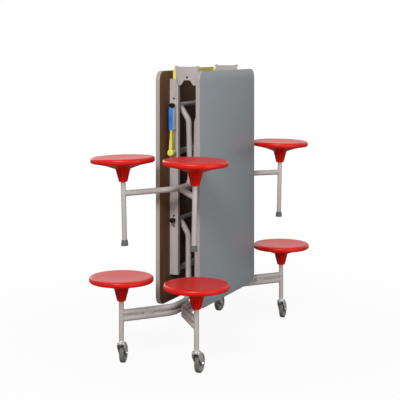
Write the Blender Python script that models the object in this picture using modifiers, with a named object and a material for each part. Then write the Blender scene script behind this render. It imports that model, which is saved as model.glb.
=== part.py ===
"""Mobile folding table with eight stools, modelled as it is stored.

The two half-tops hang upright from a centre hinge and face outwards.
Each half-top has two rails on its underside, and each pair of rails carries two stool frames:
a castor frame low down, which the folded table stands and rolls on, and a foot frame higher up.
An equaliser link in each half keeps its frames upright while the table opens and closes.

Metres, +Z up. The origin is on the floor at the centre.
X runs across the folded halves, which is along the table when it is open.
Y runs along the width of the top, with the release lever on the front, at -Y.
Every piece is drawn where it is with all joints straight, and the empties then turn the bodies.
A side is -1 for the left half and 1 for the right, and an end is -1 for the front and 1 for the rear.
"""

import math

import bmesh
import bpy
from mathutils import Matrix, Vector

# Gap between pieces that touch, how far a shape runs into another that it is welded to,
# and how far it stands back from that one's edges
GAP = 0.0003
OVERLAP = 0.001
SET_BACK = 0.0004

# Table top
TOP_WIDTH = 0.762
HALF_TOP_LENGTH = 1.218
CORE_THICKNESS = 0.0202
LAMINATE_THICKNESS = 0.0015
BAND_THICKNESS = 0.002
CORNER_RADIUS = 0.050
MEETING_GAP = 0.002
STORED_HALF_WIDTH = 0.125

# Where the stool frames turn
FLOOR_TO_PIVOT = 0.690
FRAME_SPACING = 0.605
PIVOT_TO_MEETING_EDGE = 0.1826
PIVOT_BELOW_TOP_FACE = 0.047
PIVOT_TO_SEAT = 0.243
LEFT_LEAN = math.radians(1.6)
RIGHT_LEAN = math.radians(1.2)

# Stool frames
POST_OUTREACH = 0.130
POST_REACH = 0.2203
POST_RADIUS = 0.0125
CROSS_TUBE_RADIUS = 0.0127
FRAME_TUBE_RADIUS = 0.015
DOWN_TUBE_INSET = 0.071
DOWN_TUBE_SLOPE = math.radians(31.7)
ARM_DROP = 0.427
ARM_INSET = 0.052
ARM_PITCH = 0.0315
FLARE_SLOPE = math.radians(38.7)
KNEE_BEND_RADIUS = 0.060
ELBOW_BEND_RADIUS = 0.050
FLARE_BEND_RADIUS = 0.120
BRIDGE_LENGTH = 0.050
BRIDGE_WIDTH = 0.022
BRIDGE_BITE = 0.008
BRIDGE_ALONG_SHARE = 0.50
POST_FOOT_DEPTH = 0.021

# Rails, braces and pivots
RAIL_SET_IN = 0.119
RAIL_WIDTH = 0.025
RAIL_DEPTH = 0.049
RAIL_WALL = 0.003
RAIL_TOP_BELOW_HINGE = 0.0096
RAIL_LENGTH = 1.033
RAIL_HOLE_RADIUS = 0.003
UPPER_HOLE_RISE = 0.035
LOWER_HOLE_RISE = 0.021
LOWER_HOLE_DROP = 0.034
FRAME_CLEARANCE = 0.0015
PIVOT_PIN_RADIUS = 0.006
PIN_CLEARANCE = 0.0004
BUSH_WALL = 0.0025
BUSH_REACH = 0.0035
BUSH_FLANGE_RADIUS = 0.016
BUSH_FLANGE_THICKNESS = 0.003
CAP_RADIUS = 0.012
CAP_REACH = 0.031
CAP_FLOOR = 0.0035
CAP_ROUND = 0.002
BRACE_HEIGHT = 0.030
BRACE_DEPTH = 0.020
BRACE_WALL = 0.0025
UPPER_BRACE_BELOW_PIVOT = 0.249
LOWER_BRACE_ABOVE_FOOT = 0.021

# Centre hinge
HINGE_HALF_SPAN = 0.036
HINGE_PIN_RADIUS = 0.005
HINGE_HEAD_RADIUS = 0.008
HINGE_HEAD_THICKNESS = 0.004
HINGE_LUG_RADIUS = 0.011
HINGE_LUG_FOOT = 0.024
PLATE_THICKNESS = 0.004
PLATE_CLEARANCE = 0.0005
PLATE_HALF_WIDTH = 0.0745
PLATE_HEIGHT = 0.1065
PLATE_DROP = 0.0446
PLATE_HOLE_RADIUS = 0.0035
PLATE_HOLE_DROP = 0.0016
SPREADER_RADIUS = 0.010
SPREADER_RISE = 0.0165

# Hinge plate outline, as shares of the plate's half width and height, with a share for each rounding
PLATE_OUTLINE_SHARES = (
    (0.60, 0.935, 0.02),
    (0.72, 0.960, 0.03),
    (0.81, 1.000, 0.03),
    (1.00, 0.925, 0.02),
    (0.97, 0.740, 0.08),
    (0.71, 0.600, 0.08),
    (0.71, 0.060, 0.12),
    (0.53, -0.010, 0.12),
    (0.32, 0.050, 0.05),
    (0.12, 0.262, 0.06),
)

# Equaliser links
LINK_OFFSET = 0.026
LINK_PLACE = 0.035
LINK_HALF_WIDTH = 0.008
LINK_THICKNESS = 0.005
LINK_PIN_RADIUS = 0.004
LINK_PIN_CLEARANCE = 0.0009
LINK_HEAD_RADIUS = 0.0065
LINK_HEAD_THICKNESS = 0.002
LINK_SIDE_CLEARANCE = 0.0005
LINK_LUG_THICKNESS = 0.010
LINK_LUG_MARGIN = 0.003
CRANK_THICKNESS = 0.0045
CRANK_CLEARANCE = 0.001
CRANK_MARGIN = 0.0033

# Safety bar over the rail ends of the left half
BAR_INSET = 0.0395
BAR_PIVOT_BELOW_RAIL = 0.007
BAR_PIN_RADIUS = 0.003
BAR_TAB_WIDTH = 0.0185
BAR_TAB_RISE = 0.063
BAR_TAB_DROP = 0.009
BAR_TAB_TOP_ROUND = 0.0085
BAR_TAB_FOOT_ROUND = 0.002
BAR_TAB_THICKNESS = 0.003
BAR_STRIP_HEIGHT = 0.021
BAR_STRIP_THICKNESS = 0.004

# Release lever on the left front rail
STRAP_HALF_WIDTH = 0.010
STRAP_THICKNESS = 0.004
STRAP_EYE_RADIUS = 0.0125
STRAP_LENGTH = 0.248
SLEEVE_TOP_DROP = 0.020
SLEEVE_LENGTH = 0.110
SLEEVE_WIDTH = 0.026
SLEEVE_THICKNESS = 0.030
SLEEVE_ROUND = 0.002
HANDLE_TOP_WIDTH = 0.011
HANDLE_FOOT_WIDTH = 0.0195
HANDLE_EDGE = 0.010
HANDLE_THICKNESS = 0.037
HANDLE_ROUND = 0.002
KNOB_RADIUS = 0.0175
KNOB_PROUD = 0.002

# Seats
SEAT_RADIUS = 0.1625
SEAT_RIM_HEIGHT = 0.027
SEAT_EDGE_ROUND = 0.007
SEAT_DISH_DEPTH = 0.004
SEAT_DISH_SHARE = 0.90
SEAT_CONE_RADIUS = 0.093
SEAT_CONE_TOP = 0.041
SEAT_CONE_FOOT = 0.059
SEAT_NECK_RADIUS = 0.042
SEAT_HUB_RADIUS = 0.039
SEAT_HUB_FOOT_RADIUS = 0.022
SEAT_HUB_STEP = 0.003
SEAT_HUB_FOOT = 0.125
SEAT_SOCKET_TOP = 0.065
FLUTE_COUNT = 12
FLUTE_DEPTH = 0.0025

# Rubber feet
FOOT_HEIGHT = 0.029
FOOT_TOP_RADIUS = 0.016
FOOT_RADIUS = 0.018
FOOT_BEVEL = 0.0015

# Castors
WHEEL_RADIUS = 0.050
WHEEL_WIDTH = 0.025
WHEEL_TREAD = 0.008
WHEEL_TREAD_ROUND = 0.005
WHEEL_DISH = 0.004
WHEEL_HUB_RADIUS = 0.013
WHEEL_HUB_PROUD = 0.0012
CASTOR_TRAIL = 0.042
CASTOR_HEIGHT = 0.1235
CROWN_RADIUS = 0.022
CROWN_HEIGHT = 0.0165
CROWN_NECK_RADIUS = 0.0125
CROWN_NECK_HEIGHT = 0.005
FORK_PLATE = 0.0028
FORK_CLEARANCE = 0.0042
FORK_FRONT = 0.017
FORK_REAR = 0.023
FORK_LEG_DEPTH = 0.012
FORK_END_RADIUS = 0.011
AXLE_RADIUS = 0.004
AXLE_HEAD_RADIUS = 0.007
AXLE_HEAD_THICKNESS = 0.004
STEM_RADIUS = 0.0055
STEM_LENGTH = 0.038
GUARD_RADIUS = 0.025
GUARD_THICKNESS = 0.0022

# Angle from straight back that each castor is left at, with +Y turning towards -X
CASTOR_TURNS = {
    (-1, -1): math.radians(14.0),
    (1, -1): math.radians(4.0),
    (1, 1): math.radians(6.0),
    (-1, 1): math.radians(-4.0),
}

# Facets
TUBE_RESOLUTION = 2
ROUND_STEPS = 12
SMALL_STEPS = 10
NUT_SIDES = 6
WHEEL_STEPS = 18
SEAT_STEPS = 24
BEND_STEPS = 3
CORNER_STEPS = 2
PANEL_CORNER_STEPS = 6
SHARP_ANGLE = math.radians(35.0)
WELD = 0.00001


def bore(radius, clearance, steps=ROUND_STEPS):
    """Corner radius of a faceted hole whose flats clear a shaft."""
    return (radius + clearance) / math.cos(math.pi / steps)


# Places that follow from the sizes above
TOP_THICKNESS = CORE_THICKNESS + GAP + LAMINATE_THICKNESS
PANEL_BACK = STORED_HALF_WIDTH - TOP_THICKNESS
PANEL_SEAM = PANEL_BACK + CORE_THICKNESS
PIVOT_X = STORED_HALF_WIDTH - PIVOT_BELOW_TOP_FACE
LOWER_PIVOT_Z = FLOOR_TO_PIVOT
UPPER_PIVOT_Z = FLOOR_TO_PIVOT + FRAME_SPACING
MEETING_EDGE_Z = UPPER_PIVOT_Z + PIVOT_TO_MEETING_EDGE
HINGE_Z = MEETING_EDGE_Z - HINGE_HALF_SPAN + MEETING_GAP
RAIL_TOP_Z = HINGE_Z - RAIL_TOP_BELOW_HINGE
RAIL_FOOT_Z = RAIL_TOP_Z - RAIL_LENGTH
RAIL_OUTER_X = PANEL_BACK - GAP
RAIL_INNER_X = RAIL_OUTER_X - RAIL_DEPTH
RAIL_FACE = TOP_WIDTH / 2 - RAIL_SET_IN
WEB_BACK_Y = RAIL_FACE - RAIL_WALL
CROSS_TUBE_END_Y = RAIL_FACE - RAIL_WIDTH - FRAME_CLEARANCE
DOWN_TUBE_Y = RAIL_FACE - DOWN_TUBE_INSET
POST_X = PIVOT_X + POST_OUTREACH
POST_Y = TOP_WIDTH / 2 + POST_REACH
ARM_X = PIVOT_X - ARM_INSET
FLARE_CORNER_Y = POST_Y - (POST_X - ARM_X) / math.tan(FLARE_SLOPE)
UPPER_BRACE_Z = UPPER_PIVOT_Z - UPPER_BRACE_BELOW_PIVOT
LOWER_BRACE_Z = RAIL_FOOT_Z + LOWER_BRACE_ABOVE_FOOT
BUSH_BORE_RADIUS = bore(PIVOT_PIN_RADIUS, PIN_CLEARANCE)
BUSH_RADIUS = BUSH_BORE_RADIUS + BUSH_WALL
BUSH_BACK_Y = WEB_BACK_Y - BUSH_REACH
BUSH_SEAT_Y = RAIL_FACE + GAP
BUSH_FACE_Y = BUSH_SEAT_Y + BUSH_FLANGE_THICKNESS
CAP_BACK_Y = BUSH_FACE_Y + GAP
CAP_FRONT_Y = RAIL_FACE + CAP_REACH
PIN_END_Y = CAP_FRONT_Y - CAP_FLOOR
STRAP_FRONT_Y = CAP_BACK_Y + STRAP_THICKNESS
PLATE_BACK_Y = RAIL_FACE + PLATE_CLEARANCE
PLATE_FRONT_Y = PLATE_BACK_Y + PLATE_THICKNESS
SPREADER_Z = HINGE_Z + SPREADER_RISE
LINK_NEAR = LINK_LUG_THICKNESS / 2 + LINK_SIDE_CLEARANCE
LINK_FAR = LINK_NEAR + LINK_THICKNESS
BAR_X = HINGE_HALF_SPAN + BAR_INSET
BAR_Z = RAIL_TOP_Z - BAR_PIVOT_BELOW_RAIL
TAB_FRONT_Y = WEB_BACK_Y - LINK_SIDE_CLEARANCE
POST_TOP_BELOW_PIVOT = PIVOT_TO_SEAT + SEAT_SOCKET_TOP + GAP
WHEEL_APOTHEM = WHEEL_RADIUS * math.cos(math.pi / WHEEL_STEPS)
FORK_INNER = WHEEL_WIDTH / 2 + FORK_CLEARANCE
FORK_OUTER = FORK_INNER + FORK_PLATE
CROWN_TOP = CASTOR_HEIGHT - GAP
CROWN_FOOT = CROWN_TOP - CROWN_HEIGHT
SIDE_NAMES = {-1: "left", 1: "right"}
END_NAMES = {-1: "front", 1: "rear"}

# Colour, metallic and roughness of each finish
FINISHES = {
    "laminate": ((0.205, 0.225, 0.235), 0.0, 0.45),
    "core_board": ((0.060, 0.032, 0.018), 0.0, 0.75),
    "edge_band": ((0.48, 0.47, 0.45), 0.0, 0.50),
    "frame_paint": ((0.46, 0.42, 0.40), 0.0, 0.38),
    "zinc": ((0.62, 0.63, 0.65), 1.0, 0.32),
    "yellow_paint": ((0.80, 0.68, 0.08), 0.0, 0.45),
    "blue_sleeve": ((0.035, 0.22, 0.62), 0.0, 0.40),
    "red_seat": ((0.66, 0.012, 0.010), 0.0, 0.33),
    "black_plastic": ((0.012, 0.012, 0.013), 0.0, 0.45),
    "foot_rubber": ((0.085, 0.085, 0.085), 0.0, 0.80),
    "wheel_rubber": ((0.13, 0.12, 0.11), 0.0, 0.70),
}


def clear_scene():
    """Empty the file, so that a second run starts from nothing."""
    for item in list(bpy.data.objects):
        bpy.data.objects.remove(item, do_unlink=True)
    for group in list(bpy.data.collections):
        bpy.data.collections.remove(group)


def new_collection(name):
    """Collection linked to the scene."""
    group = bpy.data.collections.new(name)
    bpy.context.scene.collection.children.link(group)
    return group


clear_scene()
PARTS = new_collection("folding_table_with_stools")
CUTTERS = new_collection("cutters")


# Shapes

def shape(data):
    """Object that holds a mesh or curve while a piece is being made."""
    item = bpy.data.objects.new("shape", data)
    item.hide_render = True
    item.display_type = "WIRE"
    CUTTERS.objects.link(item)
    return item


def discard(item):
    """Remove a shape that has been used."""
    bpy.data.objects.remove(item, do_unlink=True)


def settle(item):
    """Turn a shape into its evaluated mesh, welded and with its faces pointing out."""
    graph = bpy.context.evaluated_depsgraph_get()
    mesh = bpy.data.meshes.new_from_object(item.evaluated_get(graph))
    mesh.transform(item.matrix_world)
    discard(item)
    built = bmesh.new()
    built.from_mesh(mesh)
    bmesh.ops.remove_doubles(built, verts=built.verts, dist=WELD)
    bmesh.ops.recalc_face_normals(built, faces=built.faces)
    built.to_mesh(mesh)
    built.free()
    return shape(mesh)


def from_bmesh(built):
    """Shape that holds a finished bmesh."""
    mesh = bpy.data.meshes.new("shape")
    built.to_mesh(mesh)
    built.free()
    return shape(mesh)


def block(first, second):
    """Box between two opposite corners."""
    centre = [(a + b) / 2 for a, b in zip(first, second)]
    size = [abs(a - b) for a, b in zip(first, second)]
    built = bmesh.new()
    bmesh.ops.create_cube(built, size=1)
    bmesh.ops.scale(built, vec=size, verts=built.verts)
    bmesh.ops.translate(built, vec=centre, verts=built.verts)
    return from_bmesh(built)


def rod(start, end, radius, steps=ROUND_STEPS):
    """Solid cylinder from one point to another."""
    axis = Vector(end) - Vector(start)
    middle = (Vector(start) + Vector(end)) / 2
    place = Matrix.Translation(middle) @ axis.to_track_quat("Z", "Y").to_matrix().to_4x4()
    built = bmesh.new()
    bmesh.ops.create_cone(built, cap_ends=True, segments=steps, radius1=radius, radius2=radius,
                          depth=axis.length, matrix=place)
    return from_bmesh(built)


def turned(profile, steps, axis="Z", closed=False):
    """Profile of radius and height, given down its outer side, turned round an axis."""
    count = len(profile)
    edges = [(i, i + 1) for i in range(count - 1)]
    if closed:
        edges.append((count - 1, 0))
    mesh = bpy.data.meshes.new("profile")
    mesh.from_pydata([(radius, 0, height) for radius, height in profile], edges, [])
    item = shape(mesh)
    turn = item.modifiers.new("Turn", "SCREW")
    turn.steps = steps
    turn.render_steps = steps
    turn.use_merge_vertices = True
    turn.merge_threshold = WELD
    item = settle(item)
    quarter = math.radians(90.0)
    if axis == "Y":
        item.data.transform(Matrix.Rotation(-quarter, 4, "X"))
    if axis == "X":
        item.data.transform(Matrix.Rotation(math.pi / steps, 4, "Z"))
        item.data.transform(Matrix.Rotation(quarter, 4, "Y"))
    return item


def tube(points, radius):
    """Round bar along a line of points, with closed ends."""
    curve = bpy.data.curves.new("path", "CURVE")
    curve.dimensions = "3D"
    curve.bevel_depth = radius
    curve.bevel_resolution = TUBE_RESOLUTION
    curve.use_fill_caps = True
    spline = curve.splines.new("POLY")
    spline.points.add(len(points) - 1)
    for slot, point in zip(spline.points, points):
        slot.co = Vector(point).to_4d()
    return settle(shape(curve))


def plate(outlines, first, second, axis="Y"):
    """Flat piece with any holes, cut square to Y from outlines in X and Z, or to X from Y and Z,
    or to Z from X and Y, between two places along that axis."""
    curve = bpy.data.curves.new("outline", "CURVE")
    curve.dimensions = "2D"
    curve.fill_mode = "BOTH"
    curve.extrude = abs(second - first) / 2
    for outline in outlines:
        spline = curve.splines.new("POLY")
        spline.points.add(len(outline) - 1)
        spline.use_cyclic_u = True
        for slot, point in zip(spline.points, outline):
            slot.co = Vector(point).to_4d()
    item = settle(shape(curve))
    middle = (first + second) / 2
    quarter = math.radians(90.0)
    if axis == "Y":
        item.data.transform(Matrix.Translation((0, middle, 0)) @ Matrix.Rotation(quarter, 4, "X"))
    if axis == "X":
        item.data.transform(Matrix.Rotation(quarter, 4, "X"))
        item.data.transform(Matrix.Translation((middle, 0, 0)) @ Matrix.Rotation(quarter, 4, "Z"))
    if axis == "Z":
        item.data.transform(Matrix.Translation((0, 0, middle)))
    return item


def combine(base, tool, operation):
    """Apply one Boolean to a shape, and use up its tool."""
    step = base.modifiers.new("Combine", "BOOLEAN")
    step.operation = operation
    step.solver = "EXACT"
    step.object = tool
    made = settle(base)
    discard(tool)
    return made


def join(base, *others):
    """Weld shapes that run into each other into one body."""
    for other in others:
        base = combine(base, other, "UNION")
    return base


def cut(base, *cutters):
    """Cut shapes out of a body."""
    for cutter in cutters:
        base = combine(base, cutter, "DIFFERENCE")
    return base


def moved(item, offset):
    """Move a shape's mesh."""
    item.data.transform(Matrix.Translation(offset))
    return item


def rounded_edges(item, width, steps=2):
    """Bevel the sharp edges of a shape."""
    bevel = item.modifiers.new("Round", "BEVEL")
    bevel.width = width
    bevel.segments = steps
    bevel.limit_method = "ANGLE"
    return settle(item)


# Outlines

def circle(centre, radius, steps=SMALL_STEPS):
    """Points round a circle."""
    turns = [math.tau * i / steps for i in range(steps)]
    return [(centre[0] + radius * math.cos(t), centre[1] + radius * math.sin(t)) for t in turns]


def arc(centre, radius, start, end, steps):
    """Points along an arc, both ends included."""
    turns = [start + (end - start) * i / steps for i in range(steps + 1)]
    return [(centre[0] + radius * math.cos(t), centre[1] + radius * math.sin(t)) for t in turns]


def fillet(before, corner, after, radius, steps):
    """Points of the arc that rounds a corner, in two or three dimensions."""
    before, corner, after = Vector(before), Vector(corner), Vector(after)
    back = (before - corner).normalized()
    on = (after - corner).normalized()
    opening = back.angle(on)
    reach = min(radius / math.tan(opening / 2), (before - corner).length / 2, (after - corner).length / 2)
    radius = reach * math.tan(opening / 2)
    centre = corner + (back + on).normalized() * radius / math.sin(opening / 2)
    start = corner + back * reach - centre
    end = corner + on * reach - centre
    sweep = start.angle(end)
    points = []
    for i in range(steps + 1):
        t = i / steps
        point = (start * math.sin((1 - t) * sweep) + end * math.sin(t * sweep)) / math.sin(sweep)
        points.append(tuple(centre + point))
    return points


def rounded(corners, radii, steps=CORNER_STEPS):
    """Closed outline with each corner rounded by its own radius."""
    points = []
    for i, corner in enumerate(corners):
        after = corners[(i + 1) % len(corners)]
        points += fillet(corners[i - 1], corner, after, radii[i], steps)
    return points


def bent(points, radii):
    """Line of points with each inner corner bent to its own radius."""
    line = [points[0]]
    for before, corner, after, radius in zip(points, points[1:], points[2:], radii):
        line += fillet(before, corner, after, radius, BEND_STEPS)
    line.append(points[-1])
    return line


def lever_outline(first, first_radius, second, second_radius, steps=SMALL_STEPS // 2):
    """Outline that wraps two circles: a link, a crank or an eye on a tongue."""
    across = Vector(second) - Vector(first)
    heading = math.atan2(across.y, across.x)
    spread = math.acos((first_radius - second_radius) / across.length)
    far = arc(second, second_radius, heading - spread, heading + spread, steps)
    near = arc(first, first_radius, heading + spread, heading + math.tau - spread, steps)
    return far + near


def bar_outline(points, half_width, steps=SMALL_STEPS // 2):
    """Outline of a flat bar along three points, with round ends."""
    first, middle, last = (Vector(point) for point in points)
    start = (middle - first).normalized()
    end = (last - middle).normalized()
    lean = math.atan2(start.y, start.x)
    tail = math.atan2(end.y, end.x)
    mitre = (start + end).normalized()
    reach = half_width / math.cos(start.angle(end) / 2)
    side = Vector((-mitre.y, mitre.x)) * reach
    quarter = math.pi / 2
    outline = arc(first, half_width, lean + quarter, lean + quarter + math.pi, steps)
    outline.append(tuple(middle - side))
    outline += arc(last, half_width, tail - quarter, tail + quarter, steps)
    outline.append(tuple(middle + side))
    return outline


# Materials, bodies and parts

def finish(name):
    """Material of a finish, made once."""
    if name in bpy.data.materials:
        return bpy.data.materials[name]
    colour, metallic, roughness = FINISHES[name]
    material = bpy.data.materials.new(name)
    material.use_nodes = True
    surface = material.node_tree.nodes["Principled BSDF"]
    surface.inputs["Base Color"].default_value = (*colour, 1)
    surface.inputs["Metallic"].default_value = metallic
    surface.inputs["Roughness"].default_value = roughness
    material.diffuse_color = (*colour, 1)
    return material


class Body:
    """Empty on a joint's axis. Its point is where the joint is with every joint straight."""

    def __init__(self, name, point, parent=None, turn=0, axis=1):
        self.point = Vector(point)
        self.empty = bpy.data.objects.new(name, None)
        self.empty.empty_display_size = SEAT_RADIUS
        self.empty.location = self.point
        self.empty.rotation_euler[axis] = turn
        if parent:
            self.empty.parent = parent.empty
            self.empty.location = self.point - parent.point
        PARTS.objects.link(self.empty)


def part(name, item, finish_name, body, place=(0, 0, 0)):
    """Finished piece on its body, with its mesh's own origin at a place."""
    mesh = item.data
    return part_from_mesh(name, mesh, finish_name, body, place, item)


def part_from_mesh(name, mesh, finish_name, body, place, item=None):
    """Finished piece that may share its mesh with others."""
    if item:
        discard(item)
    mesh.name = name
    mesh.materials.clear()
    mesh.materials.append(finish(finish_name))
    mesh.shade_smooth()
    mesh.set_sharp_from_angle(angle=SHARP_ANGLE)
    piece = bpy.data.objects.new(name, mesh)
    piece.parent = body.empty
    piece.location = Vector(place) - body.point
    PARTS.objects.link(piece)
    return piece


# Half-tops

def top_outline(inset):
    """Outline of a half-top in Y and Z, drawn in by an inset."""
    side = TOP_WIDTH / 2 - inset
    top = MEETING_EDGE_Z - inset
    foot = MEETING_EDGE_Z - HALF_TOP_LENGTH + inset
    corners = [(side, foot), (side, top), (-side, top), (-side, foot)]
    return rounded(corners, [CORNER_RADIUS - inset] * 4, PANEL_CORNER_STEPS)


def half_top(side, body):
    """Core board, the laminate on its outer face, and the band round their edges."""
    name = SIDE_NAMES[side]
    inset = BAND_THICKNESS + GAP
    back, face = side * PANEL_BACK, side * STORED_HALF_WIDTH
    board = plate([top_outline(inset)], back, side * PANEL_SEAM, "X")
    sheet = plate([top_outline(inset)], side * (PANEL_SEAM + GAP), face, "X")
    band = plate([top_outline(0), top_outline(BAND_THICKNESS)], back, face, "X")
    part(f"board_{name}", board, "core_board", body)
    part(f"laminate_{name}", sheet, "laminate", body)
    part(f"edge_band_{name}", band, "edge_band", body)


def rail(side, end):
    """Channel that opens towards the middle of the top, with the hinge lug on its web."""
    hinge = (side * HINGE_HALF_SPAN, HINGE_Z)
    outline = [
        (side * RAIL_OUTER_X, RAIL_TOP_Z),
        (side * RAIL_OUTER_X, RAIL_FOOT_Z),
        (side * RAIL_INNER_X, RAIL_FOOT_Z),
        (side * RAIL_INNER_X, RAIL_TOP_Z - HINGE_LUG_FOOT),
    ]
    slope = math.atan2(RAIL_TOP_Z - HINGE_LUG_FOOT - HINGE_Z, RAIL_INNER_X - HINGE_HALF_SPAN)
    start, end_turn = slope - math.radians(90.0), math.radians(90.0) - math.tau
    lug = arc((HINGE_HALF_SPAN, HINGE_Z), HINGE_LUG_RADIUS, start, end_turn, SMALL_STEPS // 2)
    outline += [(side * x, z) for x, z in lug]
    outline.append((side * RAIL_INNER_X, HINGE_Z + HINGE_LUG_RADIUS))
    outline.append((side * (RAIL_INNER_X + HINGE_LUG_RADIUS), RAIL_TOP_Z))
    holes = [circle(hinge, bore(HINGE_PIN_RADIUS, PIN_CLEARANCE), ROUND_STEPS)]
    for height in (LOWER_PIVOT_Z, UPPER_PIVOT_Z):
        holes.append(circle((side * PIVOT_X, height), bore(BUSH_RADIUS, GAP), ROUND_STEPS))
    upper_hole = UPPER_PIVOT_Z + UPPER_HOLE_RISE
    for height in (upper_hole, LOWER_PIVOT_Z + LOWER_HOLE_RISE, LOWER_PIVOT_Z - LOWER_HOLE_DROP):
        holes.append(circle((side * PIVOT_X, height), RAIL_HOLE_RADIUS, SMALL_STEPS // 2))
    if side < 0:
        holes.append(circle((side * BAR_X, BAR_Z), bore(BAR_PIN_RADIUS, PIN_CLEARANCE), ROUND_STEPS))
    made = plate([outline] + holes, end * WEB_BACK_Y, end * RAIL_FACE)
    for outer in (RAIL_OUTER_X - SET_BACK, RAIL_INNER_X + SET_BACK + RAIL_WALL):
        low = (side * (outer - RAIL_WALL), end * (RAIL_FACE - RAIL_WIDTH), RAIL_FOOT_Z + SET_BACK)
        high = (side * outer, end * (WEB_BACK_Y + OVERLAP), RAIL_TOP_Z - SET_BACK)
        made = join(made, block(low, high))
    return made


def cross_brace(side, height):
    """Channel welded between the webs of the two rails, open towards the half-top."""
    outer = RAIL_OUTER_X - SET_BACK - RAIL_WALL - GAP
    inner = outer - BRACE_DEPTH
    web = inner + BRACE_WALL
    top = height + BRACE_HEIGHT / 2
    foot = height - BRACE_HEIGHT / 2
    low, high = foot + BRACE_WALL, top - BRACE_WALL
    channel = [(outer, top), (inner, top), (inner, foot), (outer, foot)]
    channel += [(outer, low), (web, low), (web, high), (outer, high)]
    reach = WEB_BACK_Y + OVERLAP
    return plate([[(side * x, z) for x, z in channel]], -reach, reach)


def rail_frame(side, body):
    """Ladder frame under a half-top: two rails and the two braces welded between them."""
    made = rail(side, -1)
    for height in (UPPER_BRACE_Z, LOWER_BRACE_Z):
        made = join(made, cross_brace(side, height))
    part(f"rail_frame_{SIDE_NAMES[side]}", join(made, rail(side, 1)), "frame_paint", body)


def pivot_bushes(side, body):
    """Flanged bushes that the stool frames turn in, one in each rail at both heights."""
    profile = [
        (BUSH_BORE_RADIUS, BUSH_FACE_Y),
        (BUSH_FLANGE_RADIUS, BUSH_FACE_Y),
        (BUSH_FLANGE_RADIUS, BUSH_SEAT_Y),
        (BUSH_RADIUS, BUSH_SEAT_Y),
        (BUSH_RADIUS, BUSH_BACK_Y),
        (BUSH_BORE_RADIUS, BUSH_BACK_Y),
    ]
    for tier, height in (("lower", LOWER_PIVOT_Z), ("upper", UPPER_PIVOT_Z)):
        for end in (-1, 1):
            bush = end_on(turned(profile, ROUND_STEPS, closed=True), end)
            name = f"pivot_bush_{tier}_{SIDE_NAMES[side]}_{END_NAMES[end]}"
            part(name, bush, "zinc", body, (side * PIVOT_X, 0, height))


def end_on(item, end):
    """Lay a turned piece along Y, with the top of its profile at the front or the rear end."""
    item.data.transform(Matrix.Rotation(-end * math.radians(90.0), 4, "X"))
    return item


# Centre hinge

def hinge_plate(end, body):
    """Plate with a lobe for each half: bumps on top, wings at the sides and a prong under each pivot."""
    foot = HINGE_Z - PLATE_DROP
    right = [(x * PLATE_HALF_WIDTH, foot + z * PLATE_HEIGHT) for x, z, turn in PLATE_OUTLINE_SHARES]
    radii = [turn * PLATE_HEIGHT for x, z, turn in PLATE_OUTLINE_SHARES]
    left = [(-x, z) for x, z in reversed(right)]
    outline = rounded(right + left, radii + radii[::-1])
    hole = circle((0, HINGE_Z - PLATE_HOLE_DROP), PLATE_HOLE_RADIUS)
    made = plate([outline, hole], end * PLATE_BACK_Y, end * PLATE_FRONT_Y)
    part(f"hinge_plate_{END_NAMES[end]}", join(made, *hinge_pins(end)), "frame_paint", body)


def hinge_pins(end):
    """Two pins riveted into a hinge plate and headed on the inside, that the rails' lugs turn on."""
    head_top = WEB_BACK_Y - PLATE_CLEARANCE
    profile = [
        (0, PLATE_BACK_Y + PLATE_THICKNESS / 2),
        (HINGE_PIN_RADIUS, PLATE_BACK_Y + PLATE_THICKNESS / 2),
        (HINGE_PIN_RADIUS, head_top),
        (HINGE_HEAD_RADIUS, head_top),
        (HINGE_HEAD_RADIUS, head_top - HINGE_HEAD_THICKNESS),
        (0, head_top - HINGE_HEAD_THICKNESS),
    ]
    pins = []
    for side in (-1, 1):
        pins.append(moved(end_on(turned(profile, ROUND_STEPS), end), (side * HINGE_HALF_SPAN, 0, HINGE_Z)))
    return pins


def link_pin(side, x, z, start):
    """Pin across an equaliser link, from a place beside it to the head on its far face."""
    far = LINK_FAR + LINK_SIDE_CLEARANCE
    near_y = LINK_PLACE + side * start
    far_y = LINK_PLACE + side * far
    head_y = far_y + side * LINK_HEAD_THICKNESS
    shank = rod((x, near_y, z), (x, far_y + side * LINK_HEAD_THICKNESS / 2, z), LINK_PIN_RADIUS, SMALL_STEPS)
    head = rod((x, far_y, z), (x, head_y, z), LINK_HEAD_RADIUS, SMALL_STEPS)
    return join(shank, head)


def hinge_spreader(body):
    """Tube between the hinge plates, with the lug that both equaliser links hang from."""
    reach = PLATE_BACK_Y - GAP
    made = rod((0, -reach, SPREADER_Z), (0, reach, SPREADER_Z), SPREADER_RADIUS)
    pin_x = HINGE_HALF_SPAN - LINK_OFFSET
    pin_z = HINGE_Z - LINK_OFFSET
    margin = LINK_PIN_RADIUS + LINK_LUG_MARGIN
    waist = SPREADER_RADIUS - LINK_LUG_MARGIN
    foot_x, foot_z = pin_x + margin, pin_z - margin
    corners = [(foot_x, foot_z), (waist, SPREADER_Z), (-waist, SPREADER_Z), (-foot_x, foot_z)]
    outline = rounded(corners, [margin, LINK_LUG_MARGIN, LINK_LUG_MARGIN, margin])
    lug = plate([outline], LINK_PLACE - LINK_LUG_THICKNESS / 2, LINK_PLACE + LINK_LUG_THICKNESS / 2)
    start = LINK_LUG_THICKNESS / 2 - OVERLAP
    pins = [link_pin(side, side * pin_x, pin_z, start) for side in (-1, 1)]
    part("hinge_spreader", join(made, lug, *pins), "frame_paint", body)


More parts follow.
